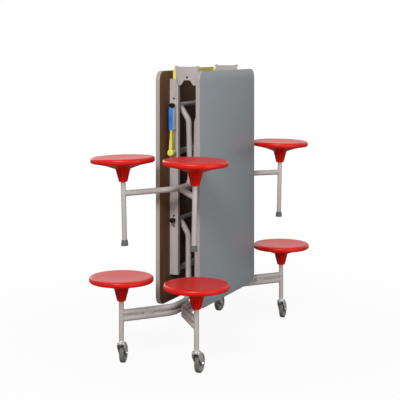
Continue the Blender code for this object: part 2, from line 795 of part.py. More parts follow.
def link_bar(side, body):
    """Cranked flat bar from the hinge lug to the cranks on both stool frames of a half."""
    hinge = (side * (HINGE_HALF_SPAN - LINK_OFFSET), HINGE_Z - LINK_OFFSET)
    upper = (side * (PIVOT_X - LINK_OFFSET), UPPER_PIVOT_Z - LINK_OFFSET)
    lower = (side * (PIVOT_X - LINK_OFFSET), LOWER_PIVOT_Z - LINK_OFFSET)
    points = (hinge, upper, lower)
    outline = bar_outline(points, LINK_HALF_WIDTH)
    radius = bore(LINK_PIN_RADIUS, LINK_PIN_CLEARANCE)
    holes = [circle(point, radius, ROUND_STEPS) for point in points]
    near, far = LINK_PLACE + side * LINK_NEAR, LINK_PLACE + side * LINK_FAR
    part(f"link_bar_{SIDE_NAMES[side]}", plate([outline] + holes, near, far), "zinc", body)


# Stool frames

def flare(side, end, z):
    """Where an arm meets its post, and the corner where it turns along the half-top."""
    stop = POST_RADIUS / 4
    post_x = POST_X - stop * math.sin(FLARE_SLOPE)
    post_y = POST_Y - stop * math.cos(FLARE_SLOPE)
    return (side * post_x, end * post_y, z), (side * ARM_X, end * FLARE_CORNER_Y, z)


def bent_tube(side, end, pivot_z):
    """Tube that runs down from the cross tube, turns along the half-top and flares out to the post."""
    y, arm_z = end * DOWN_TUBE_Y, pivot_z - ARM_DROP
    knee_z = pivot_z - ARM_INSET / math.tan(DOWN_TUBE_SLOPE)
    post, corner = flare(side, end, arm_z)
    down = [(side * PIVOT_X, y, pivot_z), (side * ARM_X, y, knee_z), (side * ARM_X, y, arm_z)]
    radii = [KNEE_BEND_RADIUS, ELBOW_BEND_RADIUS, FLARE_BEND_RADIUS]
    return tube(bent(down + [corner, post], radii), FRAME_TUBE_RADIUS)


def lower_arm(side, z):
    """Tube under the arms of a castor frame, from one post to the other."""
    rear_post, rear_corner = flare(side, 1, z)
    front_post, front_corner = flare(side, -1, z)
    line = [rear_post, rear_corner, front_corner, front_post]
    return tube(bent(line, [FLARE_BEND_RADIUS, FLARE_BEND_RADIUS]), FRAME_TUBE_RADIUS)


def stool_frame(side, pivot_z, on_castors, lean, body):
    """Welded frame: cross tube with its pins and crank, two bent tubes and their posts."""
    pivot_x = side * PIVOT_X
    arm_z = pivot_z - ARM_DROP
    front = (pivot_x, -CROSS_TUBE_END_Y, pivot_z)
    made = rod(front, (pivot_x, CROSS_TUBE_END_Y, pivot_z), CROSS_TUBE_RADIUS)
    for end in (-1, 1):
        start = (pivot_x, end * (CROSS_TUBE_END_Y - CROSS_TUBE_RADIUS), pivot_z)
        made = join(made, rod(start, (pivot_x, end * PIN_END_Y, pivot_z), PIVOT_PIN_RADIUS, ROUND_STEPS))
        made = join(made, bent_tube(side, end, pivot_z))
    if on_castors:
        made = join(made, lower_arm(side, arm_z - ARM_PITCH))
    post_top = pivot_z - POST_TOP_BELOW_PIVOT
    post_foot = pivot_z - FLOOR_TO_PIVOT + FOOT_HEIGHT - POST_FOOT_DEPTH + GAP
    if on_castors:
        post_foot = pivot_z - FLOOR_TO_PIVOT + CASTOR_HEIGHT
    for end in (-1, 1):
        x, y = side * POST_X, end * POST_Y
        made = join(made, rod((x, y, post_foot), (x, y, post_top), POST_RADIUS))
        if on_castors:
            made = join(made, arm_bridge(side, end, arm_z))
            socket = bore(STEM_RADIUS, PIN_CLEARANCE)
            socket_top = post_foot + STEM_LENGTH + GAP
            made = cut(made, rod((x, y, post_foot - OVERLAP), (x, y, socket_top), socket))
    made = join(made, crank(side, pivot_z, lean))
    tier = "lower" if on_castors else "upper"
    part(f"stool_frame_{tier}_{SIDE_NAMES[side]}", made, "frame_paint", body)


def arm_bridge(side, end, arm_z):
    """Pad welded between the two arms of a castor frame, part of the way along a flare."""
    x = side * (ARM_X + (POST_X - ARM_X) * BRIDGE_ALONG_SHARE)
    y = end * (FLARE_CORNER_Y + (POST_Y - FLARE_CORNER_Y) * BRIDGE_ALONG_SHARE)
    half = Vector((BRIDGE_LENGTH / 2, BRIDGE_WIDTH / 2, ARM_PITCH / 2 - FRAME_TUBE_RADIUS + BRIDGE_BITE))
    pad = block(-half, half)
    heading = math.atan2(end * math.cos(FLARE_SLOPE), side * math.sin(FLARE_SLOPE))
    pad.data.transform(Matrix.Translation((x, y, arm_z - ARM_PITCH / 2)) @ Matrix.Rotation(heading, 4, "Z"))
    return pad


def crank(side, pivot_z, lean):
    """Crank plate on a cross tube with the pin that the link bar pushes.

    A leaning frame's crank is set back by half its lean, which the bar's holes take up."""
    turn = Matrix.Rotation(-lean / 2, 3, "Y")
    pin = turn @ Vector((-side * LINK_OFFSET, 0, -LINK_OFFSET))
    x, z = side * PIVOT_X + pin.x, pivot_z + pin.z
    near = LINK_NEAR - CRANK_CLEARANCE
    outline = lever_outline((side * PIVOT_X, pivot_z), CROSS_TUBE_RADIUS + CRANK_MARGIN,
                            (x, z), LINK_PIN_RADIUS + CRANK_MARGIN)
    web = plate([outline], LINK_PLACE + side * near, LINK_PLACE + side * (near - CRANK_THICKNESS))
    return join(web, link_pin(side, x, z, near - CRANK_THICKNESS / 2))


def pivot_caps(side, pivot_z, body, tier):
    """Black caps on the pivot pins outside the rails. The lever's strap sits behind one of them."""
    inner = bore(PIVOT_PIN_RADIUS, GAP)
    for end in (-1, 1):
        back = CAP_BACK_Y
        if side < 0 and end < 0 and tier == "upper":
            back = STRAP_FRONT_Y + GAP
        profile = [
            (0, CAP_FRONT_Y),
            (CAP_RADIUS - CAP_ROUND, CAP_FRONT_Y),
            (CAP_RADIUS, CAP_FRONT_Y - CAP_ROUND),
            (CAP_RADIUS, back),
            (inner, back),
            (inner, PIN_END_Y + GAP),
            (0, PIN_END_Y + GAP),
        ]
        cap = end_on(turned(profile, ROUND_STEPS), end)
        name = f"pivot_cap_{tier}_{SIDE_NAMES[side]}_{END_NAMES[end]}"
        part(name, cap, "black_plastic", body, (side * PIVOT_X, 0, pivot_z))


# Seats and feet

def seat_mesh():
    """Round seat with a shallow dish, a sloped underside and a fluted hub over the post."""
    rim = SEAT_RADIUS - SEAT_EDGE_ROUND
    socket = bore(POST_RADIUS, GAP, SEAT_STEPS)
    profile = [
        (0, -SEAT_DISH_DEPTH),
        (SEAT_RADIUS * SEAT_DISH_SHARE, 0),
        (rim, -SEAT_EDGE_ROUND / 6),
        (SEAT_RADIUS, -SEAT_EDGE_ROUND),
        (SEAT_RADIUS, SEAT_EDGE_ROUND - SEAT_RIM_HEIGHT),
        (rim + SEAT_EDGE_ROUND / 2, -SEAT_RIM_HEIGHT),
        (SEAT_CONE_RADIUS, -SEAT_CONE_TOP),
        (SEAT_NECK_RADIUS, -SEAT_CONE_FOOT),
        (SEAT_HUB_RADIUS, -SEAT_CONE_FOOT - SEAT_HUB_STEP),
        (SEAT_HUB_FOOT_RADIUS, -SEAT_HUB_FOOT),
        (socket, -SEAT_HUB_FOOT),
        (socket, -SEAT_SOCKET_TOP),
        (0, -SEAT_SOCKET_TOP),
    ]
    item = turned(profile, SEAT_STEPS)
    for point in item.data.vertices:
        radius = math.hypot(point.co.x, point.co.y)
        on_hub = radius < SEAT_NECK_RADIUS and point.co.z < -SEAT_CONE_FOOT - SEAT_HUB_STEP / 2
        if on_hub and radius > (socket + SEAT_HUB_FOOT_RADIUS) / 2:
            turn = math.atan2(point.co.y, point.co.x)
            depth = FLUTE_DEPTH * (1 + math.cos(FLUTE_COUNT * turn)) / 2
            point.co.x -= depth * math.cos(turn)
            point.co.y -= depth * math.sin(turn)
    mesh = item.data
    discard(item)
    return mesh


def foot_mesh():
    """Flared rubber foot that a post stands in."""
    socket = bore(POST_RADIUS, GAP)
    floor = FOOT_HEIGHT - POST_FOOT_DEPTH
    profile = [
        (socket, FOOT_HEIGHT),
        (FOOT_TOP_RADIUS, FOOT_HEIGHT),
        (FOOT_RADIUS, FOOT_HEIGHT / 3),
        (FOOT_RADIUS, FOOT_BEVEL),
        (FOOT_RADIUS - FOOT_BEVEL, 0),
        (0, 0),
        (0, floor),
        (socket, floor),
    ]
    item = turned(profile, ROUND_STEPS, closed=True)
    mesh = item.data
    discard(item)
    return mesh


# Castors

def castor(side, end, frame_body, wheel):
    """Swivel castor: a fork that turns in the post, and a wheel between its thread guards."""
    name = f"{SIDE_NAMES[side]}_{END_NAMES[end]}"
    base = Vector((side * POST_X, end * POST_Y, 0))
    swivel = Body(f"swivel_{name}", base, frame_body, CASTOR_TURNS[side, end], 2)
    axle = base + Vector((0, CASTOR_TRAIL, WHEEL_APOTHEM))
    spin = Body(f"axle_{name}", axle, swivel)
    part(f"castor_fork_{name}", castor_fork(), "zinc", swivel, base)
    part_from_mesh(f"castor_wheel_{name}", wheel, "wheel_rubber", spin, axle)


def castor_fork():
    """Stem, crown, roof, two legs with their thread guards, and the axle bolt, round the swivel axis."""
    stem_top = CASTOR_HEIGHT + STEM_LENGTH
    crown = turned([
        (0, stem_top),
        (STEM_RADIUS, stem_top),
        (STEM_RADIUS, CROWN_TOP),
        (CROWN_NECK_RADIUS, CROWN_TOP),
        (CROWN_NECK_RADIUS, CROWN_TOP - CROWN_NECK_HEIGHT),
        (CROWN_RADIUS, CROWN_TOP - CROWN_NECK_HEIGHT * 3 / 2),
        (CROWN_RADIUS, CROWN_FOOT),
        (0, CROWN_FOOT),
    ], ROUND_STEPS)
    roof_foot = CROWN_FOOT - FORK_PLATE
    roof_side = FORK_OUTER - SET_BACK
    roof_top = CROWN_FOOT + OVERLAP
    roof = block((-roof_side, SET_BACK - FORK_FRONT, roof_foot), (roof_side, FORK_REAR - SET_BACK, roof_top))
    made = join(crown, roof)
    axle = (CASTOR_TRAIL, WHEEL_APOTHEM)
    shoulder = roof_foot - FORK_LEG_DEPTH
    top = CROWN_FOOT + FORK_PLATE
    corners = [
        (-FORK_FRONT, top),
        (-FORK_FRONT, shoulder),
        (CASTOR_TRAIL - FORK_END_RADIUS, WHEEL_APOTHEM - FORK_END_RADIUS),
        (CASTOR_TRAIL + FORK_END_RADIUS, WHEEL_APOTHEM - FORK_END_RADIUS),
        (CASTOR_TRAIL + FORK_END_RADIUS, WHEEL_APOTHEM + FORK_END_RADIUS),
        (FORK_REAR, top),
    ]
    corner_radii = [FORK_PLATE, FORK_LEG_DEPTH, FORK_END_RADIUS, FORK_END_RADIUS, FORK_END_RADIUS, FORK_PLATE]
    outline = rounded(corners, corner_radii)
    for side in (-1, 1):
        made = join(made, plate([outline], side * FORK_INNER, side * FORK_OUTER, "X"))
    bolt_end = FORK_OUTER + AXLE_HEAD_THICKNESS / 2
    made = join(made, rod((-bolt_end, *axle), (bolt_end, *axle), AXLE_RADIUS, SMALL_STEPS))
    for side in (-1, 1):
        guard_start = side * (FORK_INNER - GUARD_THICKNESS)
        made = join(made, rod((guard_start, *axle), (side * (FORK_INNER + OVERLAP), *axle), GUARD_RADIUS))
        head_start = side * (FORK_OUTER - FORK_PLATE / 2)
        head_end = side * (FORK_OUTER + AXLE_HEAD_THICKNESS)
        made = join(made, rod((head_start, *axle), (head_end, *axle), AXLE_HEAD_RADIUS, NUT_SIDES))
    return made


def wheel_mesh():
    """Wheel turned about X, with a rounded tread, dished sides and a proud hub."""
    hole = bore(AXLE_RADIUS, PIN_CLEARANCE, WHEEL_STEPS)
    half = WHEEL_WIDTH / 2
    hub = half + WHEEL_HUB_PROUD
    tread = WHEEL_RADIUS - WHEEL_TREAD
    side_of = [
        (hole, hub),
        (WHEEL_HUB_RADIUS, hub),
        (WHEEL_HUB_RADIUS, half - WHEEL_DISH),
        (tread - WHEEL_DISH / 2, half - WHEEL_DISH),
        (tread, half),
        (WHEEL_RADIUS, half - WHEEL_TREAD_ROUND),
    ]
    profile = side_of + [(radius, -place) for radius, place in reversed(side_of)]
    item = turned(profile, WHEEL_STEPS, "X", closed=True)
    mesh = item.data
    discard(item)
    return mesh


# Safety bar and release lever

def safety_bar(body):
    """Yellow strip along the meeting edge of the left half, on a tab hinged to each rail."""
    x = -BAR_X
    top = BAR_Z + BAR_TAB_RISE
    strip_end = TAB_FRONT_Y - BAR_TAB_THICKNESS / 2
    half = BAR_STRIP_THICKNESS / 2
    made = block((x - half, -strip_end, top - BAR_STRIP_HEIGHT), (x + half, strip_end, top))
    near, far = x + BAR_TAB_WIDTH / 2, x - BAR_TAB_WIDTH / 2
    foot, crest = BAR_Z - BAR_TAB_DROP, top - SET_BACK
    corners = [(far, foot), (near, foot), (near, crest), (far, crest)]
    radii = [BAR_TAB_FOOT_ROUND, BAR_TAB_FOOT_ROUND, BAR_TAB_TOP_ROUND, BAR_TAB_TOP_ROUND]
    outline = rounded(corners, radii, BEND_STEPS)
    for end in (-1, 1):
        back = end * (TAB_FRONT_Y - BAR_TAB_THICKNESS)
        tab = plate([outline], back, end * TAB_FRONT_Y)
        pin_end = (x, end * (RAIL_FACE + GAP / 2), BAR_Z)
        pin = rod((x, back + end * OVERLAP, BAR_Z), pin_end, BAR_PIN_RADIUS, SMALL_STEPS)
        made = join(made, tab, pin)
    part("safety_bar", made, "yellow_paint", body)


def release_lever(body):
    """Strap on the upper left pivot pin, with a sleeve on it and a handle with a round knob."""
    x = -PIVOT_X
    end = UPPER_PIVOT_Z - STRAP_LENGTH
    outline = lever_outline((x, UPPER_PIVOT_Z), STRAP_EYE_RADIUS, (x, end), STRAP_HALF_WIDTH)
    eye = circle((x, UPPER_PIVOT_Z), bore(PIVOT_PIN_RADIUS, PIN_CLEARANCE), ROUND_STEPS)
    part("lever_strap", plate([outline, eye], -CAP_BACK_Y, -STRAP_FRONT_Y), "frame_paint", body)
    front = STRAP_FRONT_Y + GAP
    sleeve_top = UPPER_PIVOT_Z - SLEEVE_TOP_DROP
    half = SLEEVE_WIDTH / 2
    sleeve_foot = sleeve_top - SLEEVE_LENGTH
    sleeve = block((x - half, -front, sleeve_foot), (x + half, -front - SLEEVE_THICKNESS, sleeve_top))
    part("lever_sleeve", rounded_edges(sleeve, SLEEVE_ROUND), "blue_sleeve", body)
    edge = x + HANDLE_EDGE
    handle_top = sleeve_foot - GAP
    outline = [
        (edge, handle_top),
        (edge - HANDLE_TOP_WIDTH, handle_top),
        (edge - HANDLE_FOOT_WIDTH, end),
        (edge, end),
    ]
    fin = rounded_edges(plate([outline], -front, -front - HANDLE_THICKNESS), HANDLE_ROUND)
    knob = rod((x, -front - GAP, end), (x, -front - HANDLE_THICKNESS - KNOB_PROUD, end), KNOB_RADIUS)
    part("lever_knob", join(rounded_edges(knob, HANDLE_ROUND), fin), "yellow_paint", body)


# Assembly

def stool_frame_set(side, tier, body, lean, seat, foot):
    """A stool frame with its caps and seats, and its feet if it is an upper one."""
    pivot_z = UPPER_PIVOT_Z if tier == "upper" else LOWER_PIVOT_Z
    stool_frame(side, pivot_z, tier == "lower", lean, body)
    pivot_caps(side, pivot_z, body, tier)
    for end in (-1, 1):
        name = f"{tier}_{SIDE_NAMES[side]}_{END_NAMES[end]}"
        seat_place = (side * POST_X, end * POST_Y, pivot_z - PIVOT_TO_SEAT)
        part_from_mesh(f"seat_{name}", seat, "red_seat", body, seat_place)
        if tier == "upper":
            foot_place = (side * POST_X, end * POST_Y, pivot_z - FLOOR_TO_PIVOT)
            part_from_mesh(f"foot_{name}", foot, "foot_rubber", body, foot_place)


def half_pieces(side, body):
    """Everything that is fixed to a half-top."""
    half_top(side, body)
    rail_frame(side, body)
    pivot_bushes(side, body)


def build():
    """Bodies in the order that they carry each other, from the left castor frame on the floor."""
    seat, foot, wheel = seat_mesh(), foot_mesh(), wheel_mesh()
    pivots = {(side, z): (side * PIVOT_X, 0, z) for side in (-1, 1) for z in (LOWER_PIVOT_Z, UPPER_PIVOT_Z)}
    left_castors = Body("castor_frame_left", pivots[-1, LOWER_PIVOT_Z])
    left_half = Body("half_left", pivots[-1, LOWER_PIVOT_Z], left_castors)
    hinge = Body("centre_hinge", (-HINGE_HALF_SPAN, 0, HINGE_Z), left_half)
    right_half = Body("half_right", (HINGE_HALF_SPAN, 0, HINGE_Z), hinge)
    right_castors = Body("castor_frame_right", pivots[1, LOWER_PIVOT_Z], right_half)
    left_upper = Body("upper_frame_left", pivots[-1, UPPER_PIVOT_Z], left_half, -LEFT_LEAN)
    right_upper = Body("upper_frame_right", pivots[1, UPPER_PIVOT_Z], right_half, RIGHT_LEAN)
    lever = Body("release_lever", pivots[-1, UPPER_PIVOT_Z], left_half)
    bar = Body("safety_bar_hinge", (-BAR_X, 0, BAR_Z), left_half)
    link_x, link_z = HINGE_HALF_SPAN - LINK_OFFSET, HINGE_Z - LINK_OFFSET
    links = {side: Body(f"link_{SIDE_NAMES[side]}", (side * link_x, 0, link_z), hinge) for side in (-1, 1)}

    half_pieces(-1, left_half)
    half_pieces(1, right_half)
    for end in (-1, 1):
        hinge_plate(end, hinge)
    hinge_spreader(hinge)
    for side in (-1, 1):
        link_bar(side, links[side])
    safety_bar(bar)
    release_lever(lever)
    stool_frame_set(-1, "lower", left_castors, 0, seat, foot)
    stool_frame_set(1, "lower", right_castors, 0, seat, foot)
    stool_frame_set(-1, "upper", left_upper, -LEFT_LEAN, seat, foot)
    stool_frame_set(1, "upper", right_upper, RIGHT_LEAN, seat, foot)
    for side, frame_body in ((-1, left_castors), (1, right_castors)):
        for end in (-1, 1):
            castor(side, end, frame_body, wheel)


build()
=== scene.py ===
"""Mobile folding table with eight stools, as it is stored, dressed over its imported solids.

Metres, +Z up, in the solids' own frame. X runs across the folded halves, Y along the width of
the top with the release lever at -Y, and the floor is at Z 0. A side is -1 for the left half
and 1 for the right, and an end is -1 for the front and 1 for the rear. A profile or outline is a
table of corners, and its last column is the radius of the turn at each.
"""
import math

import bpy
import numpy as np
from mathutils.geometry import tessellate_polygon
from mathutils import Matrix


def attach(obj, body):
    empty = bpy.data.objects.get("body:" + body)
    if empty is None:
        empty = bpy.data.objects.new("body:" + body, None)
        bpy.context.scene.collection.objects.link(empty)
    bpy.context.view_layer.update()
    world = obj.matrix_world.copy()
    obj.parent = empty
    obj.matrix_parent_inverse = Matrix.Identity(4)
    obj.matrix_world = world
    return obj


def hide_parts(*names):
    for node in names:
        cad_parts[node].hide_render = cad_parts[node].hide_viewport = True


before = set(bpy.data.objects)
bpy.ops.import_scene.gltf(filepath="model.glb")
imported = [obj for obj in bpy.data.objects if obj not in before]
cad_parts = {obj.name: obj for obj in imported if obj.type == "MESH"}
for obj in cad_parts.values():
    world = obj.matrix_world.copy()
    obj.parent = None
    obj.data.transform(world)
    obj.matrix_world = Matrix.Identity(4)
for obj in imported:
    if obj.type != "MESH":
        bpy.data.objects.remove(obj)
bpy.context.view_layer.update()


# Camera
# The photograph was taken level, from the front right and a little above the top edge of the
# halves. The upright lines stay parallel because the frame is shifted down and not tilted.

camera = bpy.data.objects.new("camera", bpy.data.cameras.new("camera"))
camera.data.sensor_width = 36
camera.data.lens = 97.55
camera.data.shift_y = -0.380
camera.location = (2.4006, -5.4171, 1.5965)
camera.rotation_euler = (math.radians(90), 0, math.radians(24.295))
bpy.context.scene.collection.objects.link(camera)
bpy.context.scene.camera = camera


# Core boards of the half-tops
# Particle board 20 mm thick, with a dark brown backing sheet that faces into the folded table.
# The rails are screwed to that side, and the board's corners are rounded for the band.

SIDES = {"left": -1, "right": 1}
HALF_WIDTH = 0.381
FOOT_EDGE = 0.2596
MEETING_EDGE = 1.4776
CORNER_RADIUS = 0.050
BOARD_INSET = 0.0023
BOARD_BACK = 0.103
BOARD_FRONT = 0.1232
SHEET_EDGE = 0.0003


def tone(red, green, blue):
    """Colour as a screen shows it, from 0 to 255, turned into light by the inverse sRGB curve."""
    level = np.array((red, green, blue)) / 255
    light = np.where(level <= 0.04045, level / 12.92, ((level + 0.055) / 1.055) ** 2.4)
    return (*light, 1.0)


class Finish:
    """Material under way. Its patterns read object coordinates, so they stay with the piece."""

    def __init__(self, name, metallic=0.0):
        self.material = bpy.data.materials.new(name)
        self.material.use_nodes = True
        self.tree = self.material.node_tree
        self.surface = self.tree.nodes["Principled BSDF"]
        self.surface.inputs["Metallic"].default_value = metallic
        self.place = self.node("TexCoord").outputs["Object"]

    def node(self, kind, **values):
        """Node of a kind, with its sockets set or linked by name."""
        made = self.tree.nodes.new("ShaderNode" + kind)
        for name, value in values.items():
            socket = made.inputs[name.replace("_", " ")]
            if isinstance(value, bpy.types.NodeSocket):
                self.tree.links.new(value, socket)
            else:
                socket.default_value = value
        return made

    def clouds(self, per_metre, stretch=(1, 1, 1), detail=3.0, rough=0.55):
        """Soft random pattern from 0 to 1, drawn out along the axes whose stretch is small."""
        place = self.node("Mapping", Vector=self.place, Scale=stretch).outputs["Vector"]
        made = self.node("TexNoise", Vector=place, Scale=per_metre, Detail=detail, Roughness=rough)
        return made.outputs["Fac"]

    def spread(self, pattern, low, high, first, last):
        """Pattern between two of its own values, spread between two others and held beyond them."""
        made = self.node("MapRange", Value=pattern, From_Min=low, From_Max=high,
                         To_Min=first, To_Max=last)
        return made.outputs["Result"]

    def between(self, share, first, second):
        """Colour between two, each a tone or a socket, by a share."""
        made = self.tree.nodes.new("ShaderNodeMix")
        made.data_type = "RGBA"
        self.tree.links.new(share, made.inputs[0])
        for index, value in ((6, first), (7, second)):
            if isinstance(value, bpy.types.NodeSocket):
                self.tree.links.new(value, made.inputs[index])
            else:
                made.inputs[index].default_value = tone(*value)
        return made.outputs[2]

    def mix(self, pattern, first, second, low=0.3, high=0.7, most=1.0):
        """Colour that goes from the first to a share of the second as the pattern rises."""
        return self.between(self.spread(pattern, low, high, 0.0, most), first, second)

    def colour(self, *mixed):
        """The surface's colour, mixed in the same way."""
        self.tree.links.new(self.mix(*mixed), self.surface.inputs["Base Color"])

    def gloss(self, pattern, smooth, dull, low=0.3, high=0.7):
        """Roughness that runs from smooth to dull as the pattern runs from low to high."""
        rough = self.spread(pattern, low, high, smooth, dull)
        self.tree.links.new(rough, self.surface.inputs["Roughness"])

    def relief(self, pattern, depth, strength):
        """Bump whose height in metres is the pattern times a depth."""
        made = self.node("Bump", Height=pattern, Distance=depth, Strength=strength)
        self.tree.links.new(made.outputs["Normal"], self.surface.inputs["Normal"])


def unit(vectors):
    """Vectors scaled to a length of one."""
    return vectors / np.linalg.norm(vectors, axis=-1, keepdims=True)


def bend(corners, radii, closed=True, steps=6):
    """Line through corners, each of which gives way to the arc that touches both its legs.

    A point of an arc is its centre plus its first and last spokes, weighted by the sine of the
    turn still to come and the sine of the turn gone, over the sine of the whole turn."""
    corners = [np.asarray(corner, float) for corner in corners]
    radii = np.broadcast_to(radii, len(corners))
    share = np.linspace(0, 1, steps + 1)[:, None]
    line = []
    for i, (corner, radius) in enumerate(zip(corners, radii)):
        if radius == 0 or (not closed and i in (0, len(corners) - 1)):
            line.append(corner[None])
            continue
        back = corners[i - 1] - corner
        on = corners[(i + 1) % len(corners)] - corner
        legs = np.linalg.norm(back), np.linalg.norm(on)
        back, on = back / legs[0], on / legs[1]
        half = math.acos(np.clip(back @ on, -1, 1)) / 2
        reach = min(radius / math.tan(half), legs[0] / 2, legs[1] / 2)
        middle = (back + on) / np.linalg.norm(back + on)
        centre = corner + middle * reach / math.cos(half)
        first, last = corner + back * reach - centre, corner + on * reach - centre
        turn = math.pi - 2 * half
        spokes = first * np.sin((1 - share) * turn) + last * np.sin(share * turn)
        line.append(centre + spokes / math.sin(turn))
    return np.concatenate(line)


def rounded(table, closed=True, steps=6):
    """Line through a table of corners, whose last column is the radius of each turn."""
    table = np.array(table, float)
    return bend(table[:, :-1], table[:, -1], closed, steps)


def skin(grid, loop=False):
    """Closed shell over a grid of points whose rows are rings.

    Four-sided faces join each row to the next. A row that is one point becomes a pole of
    triangles, any other end row gets one flat face, and a loop joins its last row to its first."""
    rows, columns = grid.shape[:2]
    index = np.arange(rows * columns).reshape(rows, columns)
    poles = np.ptp(grid, axis=1).max(axis=1) < 1e-7
    index[poles] = index[poles, :1]
    lower, upper = (index, np.roll(index, -1, 0)) if loop else (index[:-1], index[1:])
    faces = np.stack([lower, np.roll(lower, -1, 1), np.roll(upper, -1, 1), upper], -1).reshape(-1, 4)
    from_pole = faces[:, 0] == faces[:, 1]
    to_pole = faces[:, 2] == faces[:, 3]
    groups = [faces[~from_pole & ~to_pole], faces[from_pole, 1:], faces[to_pole, :3]]
    if not loop:
        groups += [index[:1, ::-1]] * (not poles[0]) + [index[-1:]] * (not poles[-1])
    used = np.unique(np.concatenate([group.ravel() for group in groups]))
    return grid.reshape(-1, 3)[used], [np.searchsorted(used, group) for group in groups]


def plate(loops, low, high, axis, edge=0.0005, steps=2):
    """Closed shell of a flat plate, square to an axis, with its edges rounded over.

    The first loop is its outline and any others are holes. Near each face a loop is drawn into
    the plate by edge x (1 - sin a) at a depth of edge x (1 - cos a), as a goes from 0 to 90
    degrees. The faces are filled between the loops."""
    low, high = min(low, high), max(low, high)
    a = np.linspace(0, math.pi / 2, steps + 1)
    drawn_in = edge * (1 - np.sin(a))
    depth = edge * (1 - np.cos(a))
    inset = np.concatenate([drawn_in, drawn_in[::-1]])
    place = np.concatenate([low + depth, (high - depth)[::-1]])
    points, groups, start, tops = [], [], 0, []
    for i, loop in enumerate(loops):
        loop = np.asarray(loop, float)
        after = np.roll(loop, -1, 0)
        if ((loop[:, 0] * after[:, 1] - after[:, 0] * loop[:, 1]).sum() < 0) == (i == 0):
            loop = loop[::-1]
        leg = unit(np.roll(loop, -1, 0) - loop)
        inward = np.stack([-leg[:, 1], leg[:, 0]], -1)
        before = np.roll(inward, 1, 0)
        mitre = (inward + before) / np.maximum(1 + (inward * before).sum(1, keepdims=True), 0.3)
        flat = loop + inset[:, None, None] * mitre
        level = np.broadcast_to(place[:, None, None], (*flat.shape[:2], 1))
        points.append(np.concatenate([flat, level], -1).reshape(-1, 3))
        index = start + np.arange(flat.shape[0] * flat.shape[1]).reshape(flat.shape[:2])
        on = np.roll(index, -1, 1)
        groups.append(np.stack([index[:-1], on[:-1], on[1:], index[1:]], -1).reshape(-1, 4))
        tops.append((flat[0], index[0], index[-1]))
        start += index.size
    flat = np.concatenate([top[0] for top in tops])
    fill = np.array(tessellate_polygon([[(*point, 0) for point in top[0]] for top in tops]))
    one, two, three = (flat[fill[:, k]] for k in range(3))
    turn = (two - one)[:, 0] * (three - one)[:, 1] - (two - one)[:, 1] * (three - one)[:, 0]
    fill[turn < 0] = fill[turn < 0][:, ::-1]
    groups.append(np.concatenate([top[1] for top in tops])[fill[:, ::-1]])
    groups.append(np.concatenate([top[2] for top in tops])[fill])
    order = {"X": (2, 0, 1), "Y": (0, 2, 1), "Z": (0, 1, 2)}[axis]
    return np.concatenate(points)[:, order], groups


def piece(name, shells, finish, body, node):
    """Object of closed shells on a body, in place of a node of the solids.

    A shell whose signed volume, the sum of its corner products, is negative has its faces
    turned round, so that all of them point outwards."""
    points, faces, start = [], [], 0
    for corners, groups in shells:
        rings = [corners[group] for group in groups]
        volume = sum((np.cross(ring[:, 1:-1], ring[:, 2:]) * ring[:, :1]).sum() for ring in rings)
        for group in groups:
            faces += (start + (group if volume > 0 else group[:, ::-1])).tolist()
        points.append(corners)
        start += len(corners)
    mesh = bpy.data.meshes.new(name)
    mesh.from_pydata(np.concatenate(points).tolist(), [], faces)
    mesh.shade_smooth()
    mesh.set_sharp_from_angle(angle=math.radians(38))
    mesh.materials.append(finish.material)
    made = bpy.data.objects.new(name, mesh)
    bpy.context.scene.collection.objects.link(made)
    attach(made, body)
    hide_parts(node)
    return made


def top_outline(inset):
    """Rounded rectangle of a half-top in Y and Z, drawn in by an inset."""
    side, low, high = HALF_WIDTH - inset, FOOT_EDGE + inset, MEETING_EDGE - inset
    corners = [(side, low), (side, high), (-side, high), (-side, low)]
    return bend(corners, CORNER_RADIUS - inset, steps=16)


backing = Finish("brown_backing_sheet")
grain = backing.clouds(26, (1, 2.2, 0.12), 6, 0.65)
patches = backing.clouds(2.6, (1, 1, 0.7), 2)
brown = backing.mix(grain, (74, 42, 16), (104, 68, 31), 0.3, 0.72)
backing.colour(patches, brown, (80, 45, 19), 0.35, 0.7, 0.55)
backing.gloss(grain, 0.55, 0.7)
backing.relief(backing.clouds(900, (1, 1, 0.2), 2), 0.00008, 0.6)


def sheets(name, node, finish, back, front):
    """Flat sheet in each half-top, between two distances from the middle."""
    for side_name, side in SIDES.items():
        sheet = plate([top_outline(BOARD_INSET)], side * back, side * front, "X", SHEET_EDGE)
        piece(f"{name}_{side_name}", [sheet], finish,
              f"{side_name}_half", f"{node}_{side_name}")


sheets("core_board", "board", backing, BOARD_BACK, BOARD_FRONT)


# Laminate
# Grey high-pressure laminate 1.5 mm thick, glued over the outer face of each core board.
# Its print is a soft mottle with fine flecks, under a satin surface.

LAMINATE_BACK = 0.1235
LAMINATE_FRONT = 0.125

laminate = Finish("grey_laminate")
mottle = laminate.clouds(38, detail=4, rough=0.6)
flecks = laminate.clouds(420, detail=2, rough=0.7)
grey = laminate.mix(mottle, (142, 150, 155), (146, 153, 158), 0.32, 0.68)
grey = laminate.mix(flecks, grey, (168, 173, 175), 0.60, 0.72, 0.2)
laminate.colour(flecks, grey, (122, 128, 131), 0.40, 0.30, 0.2)
laminate.gloss(laminate.clouds(4, detail=2), 0.36, 0.42, 0.35, 0.7)
laminate.relief(laminate.clouds(900, detail=1), 0.00002, 0.3)

sheets("laminate_sheet", "laminate", laminate, LAMINATE_BACK, LAMINATE_FRONT)


# Edge band
# Extruded vinyl strip in a light warm grey, pressed into a groove all round the board.
# Its outer face is slightly crowned, and fine lines from the die run along it.

BAND_WALL = 0.002
BAND_CROWN = 0.0009
BAND_ROOT = 0.0002

